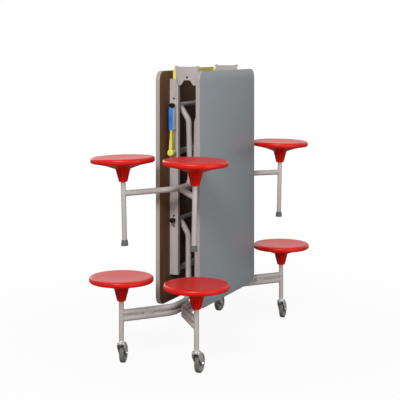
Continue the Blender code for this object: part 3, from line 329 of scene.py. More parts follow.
vinyl = Finish("grey_edge_vinyl")
lines = vinyl.clouds(700, (1, 0.02, 0.02), 2)
scuffs = vinyl.clouds(16, detail=5, rough=0.7)
pale = vinyl.mix(lines, (156, 150, 146), (170, 164, 159), 0.35, 0.65)
vinyl.colour(scuffs, pale, (134, 128, 124), 0.60, 0.78, 0.5)
vinyl.gloss(scuffs, 0.34, 0.5, 0.4, 0.75)
vinyl.relief(lines, 0.00008, 0.6)


def band(side):
    """The strip's rounded section carried round the outline.

    A station is a point of the outline. The section's first coordinate is drawn in along the
    outline's inward normal there, and its second is the place along X."""
    line = top_outline(0)
    leg = unit(np.roll(line, -1, 0) - np.roll(line, 1, 0))
    inward = np.stack([-leg[:, 1], leg[:, 0]], -1)
    section = rounded([
        (0, BOARD_BACK, BAND_CROWN), (0, LAMINATE_FRONT, BAND_CROWN),
        (BAND_WALL, LAMINATE_FRONT, BAND_ROOT), (BAND_WALL, BOARD_BACK, BAND_ROOT)], steps=4)
    flat = line[:, None] + inward[:, None] * section[None, :, :1]
    across = np.broadcast_to(side * section[None, :, 1:], (*flat.shape[:2], 1))
    return skin(np.concatenate([across, flat], -1), loop=True)


for side_name, side in SIDES.items():
    piece(f"edge_strip_{side_name}", [band(side)], vinyl,
          f"{side_name}_half", f"edge_band_{side_name}")


# Rails and braces
# Two pressed steel channels under each half-top, joined by two smaller channels welded between
# them, all powder-coated warm grey. A lug at the top of each rail turns on the centre hinge.

ENDS = {"front": -1, "rear": 1}
PIVOT_X = 0.078
PIVOTS = {"lower": 0.690, "upper": 1.295}
HINGE_X = 0.036
HINGE_Z = 1.4436
RAIL_FACE = 0.262
RAIL_BACK = 0.259
RAIL_LIP = 0.237
RAIL_OUTER = 0.1027
RAIL_INNER = 0.0537
RAIL_TOP = 1.434
RAIL_FOOT = 0.401
RAIL_BEND = 0.0045
RAIL_WALL = 0.003
RAIL_LAP = 0.0006
LIP_TURN = 0.0008
RAIL_EDGE = 0.0004
LUG_RADIUS = 0.011
LUG_FOOT = 0.024
HINGE_HOLE = 0.0055
PIVOT_HOLE = 0.0095
SPARE_HOLE = 0.0055
SPARE_HEIGHTS = (1.330, 0.711, 0.656)
BAR_X = 0.0755
BAR_Z = 1.427
BAR_HOLE = 0.0036
BRACE_HEIGHTS = (1.046, 0.422)
BRACE_HALF = 0.015
BRACE_OUTER = 0.0988
BRACE_INNER = 0.0791
BRACE_WALL = 0.0025
BRACE_BEND = 0.004
BRACE_LIP = 0.0005

paint = Finish("warm_grey_powder_coat")
drift = paint.clouds(5.5, detail=3)
specks = paint.clouds(240, detail=3, rough=0.7)
dust = paint.clouds(30, detail=5, rough=0.7)
warm = paint.mix(drift, (177, 170, 166), (187, 181, 178))
warm = paint.mix(specks, warm, (194, 188, 184), 0.62, 0.75, 0.4)
paint.colour(dust, warm, (146, 137, 132), 0.58, 0.8, 0.35)
paint.gloss(dust, 0.3, 0.5, 0.35, 0.75)
paint.relief(paint.clouds(620, detail=1, rough=0.4), 0.00012, 0.55)


def arc(centre, radius, start, end, steps=14):
    """Points along an arc between two turns in degrees, both included."""
    turn = np.radians(np.linspace(start, end, steps + 1))
    return np.stack([centre[0] + radius * np.cos(turn), centre[1] + radius * np.sin(turn)], -1)


def circle(centre, radius, steps=32):
    """Points round a circle, a whole turn divided evenly."""
    return arc(centre, radius, 0, 360, steps)[:-1]


def rail_web(side, end):
    """Flat of a rail between its bends, with its lug and its holes."""
    flat_outer, flat_inner = RAIL_OUTER - RAIL_BEND, RAIL_INNER + RAIL_BEND
    rise = math.degrees(math.atan2(RAIL_TOP - LUG_FOOT - HINGE_Z, RAIL_INNER - HINGE_X))
    parts = [
        [(flat_outer, RAIL_TOP), (flat_outer, RAIL_FOOT), (flat_inner, RAIL_FOOT)],
        [(flat_inner, RAIL_TOP - LUG_FOOT - RAIL_BEND), (RAIL_INNER, RAIL_TOP - LUG_FOOT)],
        arc((HINGE_X, HINGE_Z), LUG_RADIUS, rise - 90, -270, 24),
        [(RAIL_INNER, HINGE_Z + LUG_RADIUS), (RAIL_INNER + LUG_RADIUS, RAIL_TOP)],
    ]
    holes = [circle((HINGE_X, HINGE_Z), HINGE_HOLE)]
    holes += [circle((PIVOT_X, height), PIVOT_HOLE) for height in PIVOTS.values()]
    holes += [circle((PIVOT_X, height), SPARE_HOLE, 20) for height in SPARE_HEIGHTS]
    if side < 0:
        holes.append(circle((BAR_X, BAR_Z), BAR_HOLE, 20))
    loops = [loop * (side, 1) for loop in [np.concatenate(parts)] + holes]
    return plate(loops, end * RAIL_BACK, end * RAIL_FACE, "Y", RAIL_EDGE)


def rail_flange(side, end, outer):
    """Bend and flange along one edge of a rail, as one section drawn out from foot to top."""
    inward = -1 if outer else 1
    edge = RAIL_OUTER if outer else RAIL_INNER
    lap = edge + inward * (RAIL_BEND + RAIL_LAP)
    wall = edge + inward * RAIL_WALL
    section = rounded([
        (lap, RAIL_FACE, 0), (edge, RAIL_FACE, RAIL_BEND), (edge, RAIL_LIP, LIP_TURN),
        (wall, RAIL_LIP, LIP_TURN), (wall, RAIL_BACK, RAIL_BEND - RAIL_WALL), (lap, RAIL_BACK, 0)])
    return plate([section * (side, end)], RAIL_FOOT, RAIL_TOP, "Z", RAIL_EDGE)


def brace(side, height):
    """Channel section in X and Z, with rounded bends, drawn out between the rails' webs."""
    top, foot = height + BRACE_HALF, height - BRACE_HALF
    wall_top, wall_foot = top - BRACE_WALL, foot + BRACE_WALL
    back, back_turn = BRACE_INNER + BRACE_WALL, BRACE_BEND - BRACE_WALL
    section = rounded([
        (BRACE_OUTER, top, BRACE_LIP), (BRACE_INNER, top, BRACE_BEND),
        (BRACE_INNER, foot, BRACE_BEND), (BRACE_OUTER, foot, BRACE_LIP),
        (BRACE_OUTER, wall_foot, BRACE_LIP), (back, wall_foot, back_turn),
        (back, wall_top, back_turn), (BRACE_OUTER, wall_top, BRACE_LIP)], steps=5)
    return plate([section * (side, 1)], -RAIL_BACK, RAIL_BACK, "Y", edge=0.0002)


for side_name, side in SIDES.items():
    body, node = f"{side_name}_half", f"rail_frame_{side_name}"
    for end_name, end in ENDS.items():
        channel = [rail_web(side, end), rail_flange(side, end, True), rail_flange(side, end, False)]
        piece(f"rail_{side_name}_{end_name}", channel, paint, body, node)
    braces = [brace(side, height) for height in BRACE_HEIGHTS]
    piece(f"braces_{side_name}", braces, paint, body, node)


# Pivot bushes
# Flanged steel bushes, zinc plated, pressed into the rails at both pivot heights.
# The stool frames' pins turn in them, and the flange keeps the caps off the paint.

BUSH = (
    (0.0064, 0.2653, 0.0006), (0.0160, 0.2653, 0.0009), (0.0160, 0.2623, 0.0004),
    (0.0091, 0.2623, 0), (0.0091, 0.2555, 0.0004), (0.0064, 0.2555, 0.0004),
)

zinc = Finish("zinc_plate", metallic=0.65)
spangle = zinc.clouds(130, detail=3, rough=0.6)
zinc.colour(spangle, (188, 189, 190), (214, 214, 213))
zinc.gloss(zinc.clouds(60, detail=4, rough=0.7), 0.28, 0.46)
zinc.relief(zinc.clouds(1400, detail=2), 0.00003, 0.5)


def turned(profile, centre, axis, steps, loop=False, drawn_in=None):
    """Profile of radius and height turned round an axis through a point.

    A point is the centre, plus its height along the axis, plus its radius times the cosine and
    sine of the turn across it. drawn_in gives how far the radius shrinks at a height and turn."""
    profile = np.asarray(profile, float)
    radius, height = np.broadcast_arrays(profile[:, :1], profile[:, 1:])
    turn = np.linspace(0, math.tau, steps, endpoint=False)[None]
    radius = np.repeat(radius, steps, 1)
    if drawn_in:
        radius = radius - drawn_in(radius, height, turn)
    level = np.repeat(height, steps, 1)
    across, up = radius * np.cos(turn), radius * np.sin(turn)
    order = {"X": (level, across, up), "Y": (up, level, across), "Z": (across, up, level)}[axis]
    return skin(np.stack(order, -1) + np.asarray(centre, float), loop)


def lathed(table, centre, axis, steps, turns, sign=1, loop=False):
    """Table of radius, height and turn, rounded, set up or down the axis by a sign and turned."""
    return turned(rounded(table, loop, turns) * (1, sign), centre, axis, steps, loop)


for side_name, side in SIDES.items():
    for tier, height in PIVOTS.items():
        for end_name, end in ENDS.items():
            place = f"{tier}_{side_name}_{end_name}"
            bush = lathed(BUSH, (side * PIVOT_X, 0, height), "Y", 40, 4, end, loop=True)
            piece(f"flanged_bush_{place}", [bush], zinc,
                  f"{side_name}_half", f"pivot_bush_{place}")


# Centre hinge
# A pressed steel plate at each end, with a lobe for each half, two pins for the rails with a flat
# head behind and a riveted dome in front, and a tube that ties the plates together and carries
# the lug for the link bars.

PLATE_BACK = 0.2625
PLATE_FRONT = 0.2665
PLATE_HALF = (
    (0.0447, 1.4986, 0.003), (0.0536, 1.5012, 0.003), (0.0603, 1.5055, 0.003),
    (0.0765, 1.4968, 0.0015), (0.0660, 1.4915, 0.003), (0.0650, 1.4440, 0.005),
    (0.0529, 1.4360, 0.004), (0.0529, 1.4054, 0.010), (0.0420, 1.3979, 0.009),
    (0.0320, 1.4043, 0.004), (0.0175, 1.4269, 0.006),
)
PLATE_HOLE_Z = 1.442
PLATE_HOLE = 0.0057
HINGE_PIN = (
    (0, 0.2667, 0), (0.0046, 0.2666, 0.0004), (0.0050, 0.2640, 0), (0.0050, 0.2585, 0),
    (0.0080, 0.2585, 0.0006), (0.0080, 0.2545, 0.0006), (0, 0.2545, 0),
)
SPREADER_Z = 1.4601
SPREADER_RADIUS = 0.010
SPREADER_END = 0.2622
LUG_Y = (0.030, 0.040)
LUG_REACH = 0.007
LUG_TURN = 0.006
LINK_Y = 0.035
LINK_OFFSET = 0.026
LINK_PIN = 0.004
LINK_PIN_HEAD = (
    (LINK_PIN, 0.0110, 0), (0.0065, 0.0110, 0.0005), (0.0065, 0.0130, 0.0008), (0, 0.0132, 0))
PIN_X = HINGE_X - LINK_OFFSET
PIN_Z = HINGE_Z - LINK_OFFSET


def link_pin(side, x, z, start):
    """Headed pin through a link bar, from its lug or crank to a washer on the bar's far face."""
    table = [(0, start, 0), (LINK_PIN, start, 0), *LINK_PIN_HEAD]
    return lathed(table, (x, LINK_Y, z), "Y", 24, 3, side)


def rod(radius, low, high, centre, axis, steps=20):
    """Plain round bar between two places along an axis through a point."""
    return turned([(0, low), (radius, low), (radius, high), (0, high)], centre, axis, steps)


outline = rounded([*PLATE_HALF, *((-x, z, turn) for x, z, turn in PLATE_HALF[::-1])])
hole = circle((0, PLATE_HOLE_Z), PLATE_HOLE)
for end_name, end in ENDS.items():
    leaf = plate([outline, hole], end * PLATE_BACK, end * PLATE_FRONT, "Y", edge=0.0007, steps=3)
    pins = [lathed(HINGE_PIN, (side * HINGE_X, 0, HINGE_Z), "Y", 28, 4, end) for side in (-1, 1)]
    piece(f"hinge_leaf_{end_name}", [leaf] + pins, paint,
          "centre_hinge", f"hinge_plate_{end_name}")

foot_x, foot_z = PIN_X + LUG_REACH, PIN_Z - LUG_REACH
lug = [(foot_x, foot_z), (LUG_REACH, SPREADER_Z), (-LUG_REACH, SPREADER_Z), (-foot_x, foot_z)]
spreader = [
    rod(SPREADER_RADIUS, -SPREADER_END, SPREADER_END, (0, 0, SPREADER_Z), "Y", 40),
    plate([bend(lug, LUG_TURN)], *LUG_Y, "Y", edge=0.0006),
] + [link_pin(side, side * PIN_X, PIN_Z, start=0.004) for side in (-1, 1)]
piece("hinge_tie_tube", spreader, paint, "centre_hinge", "hinge_spreader")


# Link bars
# A cranked flat bar in each half, zinc plated. It hangs from the hinge's lug and pushes a crank
# on each stool frame, so that the frames stay upright while the table opens.

LINK_HALF = 0.008
LINK_HOLE = 0.0052
LINK_NEAR = 0.0055
LINK_FAR = 0.0105


def link_bar(side):
    """Outline that keeps 8 mm to each side of three points, with round ends and three holes.

    At the middle point, where the bar is cranked, the outline's corners lie on the mitre."""
    hinge = np.array((PIN_X, PIN_Z))
    upper, lower = (np.array((PIVOT_X, PIVOTS[tier])) - LINK_OFFSET for tier in ("upper", "lower"))
    rise = upper - hinge
    lean = math.degrees(math.atan2(rise[1], rise[0]))
    mitre = LINK_HALF * np.array((1, math.tan(math.radians((lean + 90) / 2))))
    line = np.concatenate([
        arc(hinge, LINK_HALF, lean + 90, lean + 270), [upper - mitre],
        arc(lower, LINK_HALF, -180, 0), [upper + mitre]])
    loops = [line] + [circle(point, LINK_HOLE, 24) for point in (hinge, upper, lower)]
    near, far = LINK_Y + side * LINK_NEAR, LINK_Y + side * LINK_FAR
    return plate([loop * (side, 1) for loop in loops], near, far, "Y", edge=0.0006)


for side_name, side in SIDES.items():
    piece(f"equaliser_bar_{side_name}", [link_bar(side)], zinc,
          f"{side_name}_link", f"link_bar_{side_name}")


# Safety bar
# A yellow painted steel strip along the meeting edge of the left half, welded to a tab behind
# each rail. The tabs turn on pins in the rails' webs and keep the folded table shut.

STRIP = ((-0.257, 1.469), (0.257, 1.490))
STRIP_TURN = 0.002
STRIP_HALF = 0.002
TAB = ((-0.08475, 1.418), (-0.06625, 1.4896))
TAB_TURNS = (0.002, 0.002, 0.0085, 0.0085)
TAB_BACK = 0.2555
TAB_FRONT = 0.2585
BAR_PIN = 0.003
BAR_PIN_BACK = 0.2560
BAR_PIN_FRONT = 0.2621

yellow = Finish("yellow_paint")
wear = yellow.clouds(70, detail=5, rough=0.7)
drift = yellow.clouds(9, detail=3)
sunny = yellow.mix(drift, (231, 216, 90), (242, 232, 116))
yellow.colour(wear, sunny, (176, 152, 44), 0.62, 0.8, 0.6)
yellow.gloss(wear, 0.28, 0.5, 0.35, 0.75)
yellow.relief(yellow.clouds(800, detail=2), 0.00008, 0.5)


def rectangle(low, high, turns, steps=6):
    """Rounded rectangle between two opposite corners."""
    (left, foot), (right, top) = low, high
    return bend([(left, foot), (right, foot), (right, top), (left, top)], turns, steps=steps)


strip = rectangle(*STRIP, STRIP_TURN, 3)
bar = [plate([strip], -BAR_X - STRIP_HALF, -BAR_X + STRIP_HALF, "X", edge=0.0008)]
tab = rectangle(*TAB, TAB_TURNS)
for end in ENDS.values():
    bar.append(plate([tab], end * TAB_BACK, end * TAB_FRONT, "Y", edge=0.0006))
    bar.append(rod(BAR_PIN, end * BAR_PIN_BACK, end * BAR_PIN_FRONT, (-BAR_X, 0, BAR_Z), "Y"))
piece("safety_strip", bar, yellow, "safety_bar", "safety_bar")


# Release lever
# A painted strap that turns on the upper left pivot pin, with a blue vinyl sleeve on it, and a
# yellow handle below with a round knob. Pulling it up lets the table open.

LEVER_FOOT = 1.047
STRAP_TOP = 0.0125
STRAP_END = 0.010
STRAP_TAPER = 0.6
STRAP_EYE = 0.0064
STRAP_Y = (-0.2656, -0.2696)
SLEEVE = ((-0.0925, -0.2699), (-0.0645, -0.2999))
SLEEVE_TURN = 0.0012
SLEEVE_Z = (1.165, 1.281)
# Places across the sleeve: left of the first pair its front is painted dark blue as shade; right of
# the second its side is white.
SHADED_EDGE_X = (-0.0880, -0.0886)
FACE_X = (-0.0650, -0.0647)
FIN = ((-0.068, 1.1647), (-0.079, 1.1647), (-0.0875, LEVER_FOOT), (-0.068, LEVER_FOOT))
FIN_TURN = 0.0015
FIN_Y = (-0.2699, -0.3069)
KNOB = ((0, 0.2702, 0), (0.0174, 0.2702, 0.006), (0.0174, 0.3089, 0.005), (0, 0.3089, 0))

upper_pivot = (-PIVOT_X, PIVOTS["upper"])
strap = np.concatenate([
    arc(upper_pivot, STRAP_TOP, STRAP_TAPER, 180 - STRAP_TAPER, 20),
    arc((-PIVOT_X, LEVER_FOOT), STRAP_END, 180 + STRAP_TAPER, 360 - STRAP_TAPER, 20)])
strap = plate([strap, circle(upper_pivot, STRAP_EYE)], *STRAP_Y, "Y", edge=0.0007)
piece("release_strap", [strap], paint, "release_lever", "lever_strap")

blue = Finish("blue_vinyl")
shade = blue.clouds(24, detail=4, rough=0.6)
bright = blue.mix(shade, (34, 116, 200), (62, 148, 222))
across = blue.node("SeparateXYZ", Vector=blue.place).outputs["X"]
# Painted shade: the strip at the sleeve's left edge is coloured dark blue to stand in for a side in
# shadow.
bright = blue.mix(across, bright, (16, 50, 108), *SHADED_EDGE_X)
blue.colour(across, bright, (252, 250, 255), *FACE_X)
blue.gloss(blue.clouds(90, detail=4), 0.26, 0.42, 0.35, 0.7)
blue.relief(blue.clouds(700, (1, 1, 0.3), 2), 0.00008, 0.5)

sleeve = plate([rectangle(*SLEEVE, SLEEVE_TURN, 4)], *SLEEVE_Z, "Z", edge=0.001, steps=4)
piece("lever_grip_sleeve", [sleeve], blue, "release_lever", "lever_sleeve")

handle = plate([bend(FIN, FIN_TURN, steps=3)], *FIN_Y, "Y", edge=0.0025, steps=4)
knob = lathed(KNOB, (-PIVOT_X, 0, LEVER_FOOT), "Y", 48, 12, -1)
piece("lever_handle", [handle, knob], yellow, "release_lever", "lever_knob")


# Stool frames
# Four welded frames of round steel tube, powder-coated like the rails: a cross tube that turns
# between the rails, a bent tube from each end of it to each post, and the posts.
# The lower frames, which carry the castors, have an arm under these, with pads welded between.

FRAMES = {
    ("lower", "left"): ("left_castor_frame", 0),
    ("lower", "right"): ("right_castor_frame", 0),
    ("upper", "left"): ("left_upper_frame", -1.6),
    ("upper", "right"): ("right_upper_frame", 1.2),
}
POST_X = 0.208
POST_Y = 0.6013
POST_RADIUS = 0.0125
POST_EDGE = 0.001
POST_TOP_DROP = 0.3083
UPPER_POST_DROP = 0.6817
LOWER_POST_FOOT = 0.1235
CROSS_RADIUS = 0.0127
CROSS_HALF = ((0, -0.2895, 0), (0.006, -0.2895, 0), (0.006, -0.2355, 0), (CROSS_RADIUS, -0.2355, 0))
TUBE_RADIUS = 0.015
PRESSED = 0.0121
PRESSED_REACH = 0.010
PRESSED_EASE = 0.026
DOWN_Y = 0.191
ARM_X = 0.026
ARM_DROP = 0.427
ARM_PITCH = 0.0315
KNEE_DROP = 0.0842
KNEE_TURN = 0.060
KNEE_STATIONS = (0, 0.010, 0.016, 0.023, 0.030, 0.036)
ELBOW_TURN = 0.050
FLARE = math.radians(38.7)
FLARE_Y = POST_Y - (POST_X - ARM_X) / math.tan(FLARE)
FLARE_TURN = 0.120
FLARE_STATIONS = (0.003, 0.012, 0.018, 0.024, 0.030, 0.040)
BEAD_RADIUS = 0.002
BEAD_START = 0.03
RIPPLES = 21
RIPPLE_SHARE = 0.14
CRANK_RADIUS = 0.016
CRANK_TIP = 0.0073
CRANK_TURN = 77
CRANK_WALL = 0.0045
PAD = ((-0.025, -0.012), (0.025, 0.012))
PAD_TURN = 0.003
PAD_HALF = 0.0087


def swung(shell, centre, degrees, axis):
    """Shell turned about an axis through a point by Rodrigues' formula: v cos t + (k x v) sin t +
    k (k . v)(1 - cos t)."""
    points, groups = shell
    spoke = points - centre
    turn = math.radians(degrees)
    k = np.asarray(axis, float)
    points = spoke * math.cos(turn) + np.cross(k, spoke) * math.sin(turn)
    points = points + np.outer(spoke @ k, k) * (1 - math.cos(turn))
    return points + centre, groups


def leant(shell, side, tier, lean):
    """Shell of an upright frame turned about its pivots by the frame's lean."""
    return swung(shell, (side * PIVOT_X, 0, PIVOTS[tier]), lean, (0, 1, 0))


def mirrored(half, *middle):
    """Profile made whole by the mirror image of its half."""
    return [*half, *middle, *((radius, -place, turn) for radius, place, turn in half[::-1])]


def tube(path, *centres, steps=28):
    """Round tube along a path, pressed flatter within 36 mm of the centres that it is welded to.

    A point is its station, plus the cosine of its turn times the half-width along one direction
    square to the path, plus the sine times the radius along the other, which is also square to X.
    The half-width eases from the radius to the pressed one by the smooth step 3 s^2 - 2 s^3."""
    tangent = unit(np.gradient(path, axis=0))
    second = unit(np.cross(tangent, (1, 0, 0)))
    first = np.cross(second, tangent)
    share = np.ones(len(path))
    for centre in centres:
        reach = np.linalg.norm(path - centre, axis=1)
        share *= np.clip((reach - PRESSED_REACH) / PRESSED_EASE, 0, 1)
    width = PRESSED + (TUBE_RADIUS - PRESSED) * share * share * (3 - 2 * share)
    turn = np.linspace(0, math.tau, steps, endpoint=False)[None, :, None]
    across = width[:, None, None] * np.cos(turn) * first[:, None]
    return skin(path[:, None] + across + TUBE_RADIUS * np.sin(turn) * second[:, None])


def weld(start, heading, core, core_axis, core_radius, steps=84):
    """Weld bead where a tube runs into another.

    Each point of the tube's pressed end goes on along the heading until its distance from the
    core's axis is the core's radius, the smaller root of a quadratic. The bead is a circle round
    that line, whose radius swells 21 times on the way, like the ripples of a weld."""
    values = (start, heading, core, core_axis)
    start, heading, core, k = (np.asarray(value, float) for value in values)
    heading = unit(heading)
    first = unit(k - (k @ heading) * heading)
    second = np.cross(heading, first)
    turn = np.linspace(0, math.tau, steps, endpoint=False)[:, None]
    points = start + TUBE_RADIUS * np.cos(turn) * first + PRESSED * np.sin(turn) * second
    spoke = points - core
    spoke -= np.outer(spoke @ k, k)
    flat = heading - (heading @ k) * k
    a, b, c = flat @ flat, spoke @ flat, (spoke ** 2).sum(1) - core_radius ** 2
    points = points + ((-b - np.sqrt(np.maximum(b ** 2 - a * c, 0))) / a)[:, None] * heading
    out = points - core
    out -= np.outer(out @ k, k)
    tangent = unit(np.roll(points, -1, 0) - np.roll(points, 1, 0))
    out = unit(out - (out * tangent).sum(1, keepdims=True) * tangent)
    beside = np.cross(tangent, out)
    ring = np.linspace(0, math.tau, 8, endpoint=False)[None, :, None]
    swell = BEAD_RADIUS * (1 + RIPPLE_SHARE * np.cos(RIPPLES * turn))[:, None]
    spokes = np.cos(ring) * out[:, None] + np.sin(ring) * beside[:, None]
    return skin(points[:, None] + swell * spokes, loop=True)


def outward(side, end):
    """Direction of an arm where it runs out to its post."""
    return np.array((side * math.sin(FLARE), end * math.cos(FLARE), 0))


def knee(side):
    """Way from a cross tube down to the first elbow of a bent tube."""
    return np.array((side * (ARM_X - PIVOT_X), 0, -KNEE_DROP))


def flare(side, end, z):
    """Corners from a post back to where its arm turns along the half-top, with their radii."""
    post = np.array((side * POST_X, end * POST_Y, z))
    corners = [post - outward(side, end) * reach for reach in FLARE_STATIONS]
    radii = [0] * len(corners) + [FLARE_TURN]
    return corners + [np.array((side * ARM_X, end * FLARE_Y, z))], radii


def bent_tube(side, end, z):
    """Tube from the cross tube down, round an elbow along the half-top and out to the post."""
    y = end * DOWN_Y
    corners, radii = flare(side, end, z - ARM_DROP)
    slope = unit(knee(side))
    start = np.array((side * PIVOT_X, y, z))
    line = [start + slope * reach for reach in KNEE_STATIONS]
    radii = [0] * len(line) + [KNEE_TURN, ELBOW_TURN] + radii[::-1]
    line += [np.array((side * ARM_X, y, z - drop)) for drop in (KNEE_DROP, ARM_DROP)]
    path = bend(line + corners[::-1], radii, closed=False, steps=14)
    return tube(path, start, corners[0])


def lower_arm(side, z):
    """Tube from post to post under the bent tubes of a castor frame."""
    (front, radii), (rear, _) = flare(side, -1, z), flare(side, 1, z)
    path = bend(front + rear[::-1], radii + radii[::-1], closed=False, steps=14)
    return tube(path, front[0], rear[0])


def crank(side, z, lean):
    """Crank plate on a cross tube, with its pin set back by half the frame's lean."""
    turn = math.radians(-lean / 2)
    x = side * PIVOT_X - LINK_OFFSET * (side * math.cos(turn) + math.sin(turn))
    pin_height = z + LINK_OFFSET * (side * math.sin(turn) - math.cos(turn))
    heading = math.degrees(math.atan2(pin_height - z, x - side * PIVOT_X))
    line = np.concatenate([
        arc((side * PIVOT_X, z), CRANK_RADIUS, heading + CRANK_TURN, heading + 360 - CRANK_TURN, 24),
        arc((x, pin_height), CRANK_TIP, heading - CRANK_TURN, heading + CRANK_TURN)])
    blade = plate([line], LINK_Y, LINK_Y + side * CRANK_WALL, "Y")
    return [blade, link_pin(side, x, pin_height, start=0.002)]


def pad(side, end, z):
    """Flat pad between the two arms of a lower frame, 50 mm long, half-way along a flare."""
    x, y = side * (ARM_X + POST_X) / 2, end * (FLARE_Y + POST_Y) / 2
    outline = rectangle(*PAD, PAD_TURN, 4)
    points, groups = plate([outline], z - PAD_HALF, z + PAD_HALF, "Z", edge=0.001)
    across, along, _ = outward(side, end)
    heading = math.degrees(math.atan2(along, across))
    return swung((points + (x, y, 0), groups), (x, y, 0), heading, (0, 0, 1))


def stool_frame(side, tier, lean):
    """Shells of a frame by name, upright, then leant about its pivots."""
    x, z = side * PIVOT_X, PIVOTS[tier]
    arm_z, post_top = z - ARM_DROP, z - POST_TOP_DROP
    tubes, welds, posts = [], [], []
    for end in ENDS.values():
        top = np.array((x, end * DOWN_Y, z))
        tubes.append(bent_tube(side, end, z))
        welds.append(weld(top + knee(side) / 2, -knee(side), top, (0, 1, 0), CROSS_RADIUS))
    levels, foot = [arm_z], z - UPPER_POST_DROP
    if tier == "lower":
        levels.append(arm_z - ARM_PITCH)
        tubes.append(lower_arm(side, levels[1]))
        foot = LOWER_POST_FOOT
    post = [(0, foot, 0), (POST_RADIUS, foot, POST_EDGE),
            (POST_RADIUS, post_top, POST_EDGE), (0, post_top, 0)]
    for end in ENDS.values():
        place = (side * POST_X, end * POST_Y)
        posts.append(lathed(post, (*place, 0), "Z", 32, 3))
        heading = outward(side, end)
        for level in levels:
            begin = np.array((*place, level)) - heading * BEAD_START
            welds.append(weld(begin, heading, (*place, 0), (0, 0, 1), POST_RADIUS))
        if tier == "lower":
            tubes.append(pad(side, end, arm_z - ARM_PITCH / 2))
    cross = [lathed(mirrored(CROSS_HALF), (x, 0, z), "Y", 32, 1)] + crank(side, z, lean)
    shells = {"cross_tube": cross, "bent_tubes": tubes, "posts": posts, "welds": welds}
    return {name: [leant(shell, side, tier, lean) for shell in group]
            for name, group in shells.items()}


for (tier, side_name), (body, lean) in FRAMES.items():
    for name, shells in stool_frame(SIDES[side_name], tier, lean).items():
        piece(f"{name}_{tier}_{side_name}", shells, paint,
              body, f"stool_frame_{tier}_{side_name}")


# Pivot caps
# Black plastic cups, slightly domed, pushed over the ends of the pivot pins outside the rails.
# The one at the upper left front also keeps the release strap on its pin.

CAP_RADIUS = 0.012
CAP_BORE = 0.0064
CAP_BACK = 0.2656
LEVER_CAP_BACK = 0.2699
CAP_TOP = ((0, 0.2930, 0), (0.008, 0.2927, 0.004), (CAP_RADIUS, 0.2915, 0.0025))
CAP_HOLLOW = ((CAP_BORE, 0.2898, 0), (0, 0.2898, 0))

black = Finish("black_plastic")
black.colour(black.clouds(60, detail=4), (5, 5, 5), (12, 11, 11), 0.35, 0.7)
black.surface.inputs["Specular IOR Level"].default_value = 0.2
black.gloss(black.clouds(120, detail=3), 0.40, 0.55)
black.relief(black.clouds(1300, detail=2), 0.00006, 0.5)

for (tier, side_name), (body, lean) in FRAMES.items():
    side = SIDES[side_name]
    for end_name, end in ENDS.items():
        place = f"{tier}_{side_name}_{end_name}"
        back = LEVER_CAP_BACK if place == "upper_left_front" else CAP_BACK
        table = [*CAP_TOP, (CAP_RADIUS, back, 0.0006), (CAP_BORE, back, 0.0003), *CAP_HOLLOW]
        cap = lathed(table, (side * PIVOT_X, 0, PIVOTS[tier]), "Y", 36, 5, end)
        piece(f"black_cap_{place}", [leant(cap, side, tier, lean)], black,
              body, f"pivot_cap_{place}")


# Seats
# Round stools moulded in red plastic, with a shallow dish and a rolled rim, a sloped underside
# that is left duller by the mould, and a fluted hub that is pushed over the top of the post.

SEAT_DROP = 0.243
SEAT_RADIUS = 0.1625
DISH_RADIUS = 0.140
DISH_DEPTH = 0.004
GATE_DEPTH = 0.0006
RIM_DEPTH = 0.0175
RIM_EASE = 0.003
HUB_TOP = -0.062
HUB_FOOT = -0.125
HUB_LINE = ((0.0378, -0.0645), (0.0229, -0.1215))
HUB_END = -0.1222
HUB_INSIDE = 0.02
SOCKET_RADIUS = 0.0128
SOCKET_TOP = -0.065
SEAT_PROFILE = (
    (DISH_RADIUS, 0, 0), (SEAT_RADIUS, -0.0005, 0.015), (SEAT_RADIUS, -0.027, 0.010),
    (0.142, -0.0305, 0.004), (0.093, -0.041, 0.02), (0.042, -0.059, 0.006),
    (0.0385, HUB_TOP, 0.004), (0.030, -0.0935, 0.2), (0.022, HUB_FOOT, 0.002),
    (SOCKET_RADIUS, HUB_FOOT, 0.0005), (SOCKET_RADIUS, SOCKET_TOP, 0.0005), (0, SOCKET_TOP, 0),
)
FLUTES = 12
FLUTE_DEPTH = 0.0038
FLUTE_TOP = 0.004
FLUTE_FOOT = 0.006

red = Finish("red_moulded_plastic")
red.colour(red.clouds(10, detail=3), (204, 22, 10), (216, 30, 15))
under = red.node("Attribute")
under.attribute_name = "underside"
duller = red.spread(under.outputs["Fac"], 0, 1, 0.29, 0.06)
red.tree.links.new(duller, red.surface.inputs["Specular IOR Level"])
red.gloss(red.clouds(5, detail=2), 0.33, 0.39)
red.relief(red.clouds(420, detail=1), 0.00002, 0.4)


def flutes(radius, height, turn):
    """Depth of the hub's grooves: (0.5 + 0.5 cos 12 t) ^ 0.8, fading out at the hub's two ends."""
    top, foot = (HUB_TOP - height) / FLUTE_TOP, (height - HUB_FOOT) / FLUTE_FOOT
    on_hub = (radius > HUB_INSIDE) * np.clip(top, 0, 1) * np.clip(foot, 0, 1)
    return on_hub * FLUTE_DEPTH * (0.5 + 0.5 * np.cos(FLUTES * turn)) ** 0.8


def seat(side, end, z):
    """Turned profile: dish, round rim and lip, sloped underside, hub and socket.

    The dish is a parabola, depth x (1 - s^2), with a small round sink at its middle. The hub is
    divided evenly from top to foot, to carry the grooves."""
    share = np.linspace(0, 1, 14)
    depth = DISH_DEPTH * (1 - share ** 2) + GATE_DEPTH * (share < 0.15)
    dish = np.stack([DISH_RADIUS * share, -depth], -1)
    rim = rounded(SEAT_PROFILE, closed=False, steps=7)
    hub = np.linspace(*HUB_LINE, 12)
    cut = int(np.argmax(rim[:, 1] < HUB_LINE[0][1]))
    rest = int(np.argmax(rim[:, 1] < HUB_END))
    profile = np.concatenate([dish[:-1], rim[:cut], hub, rim[rest:]])
    return turned(profile, (side * POST_X, end * POST_Y, z), "Z", 96, drawn_in=flutes)


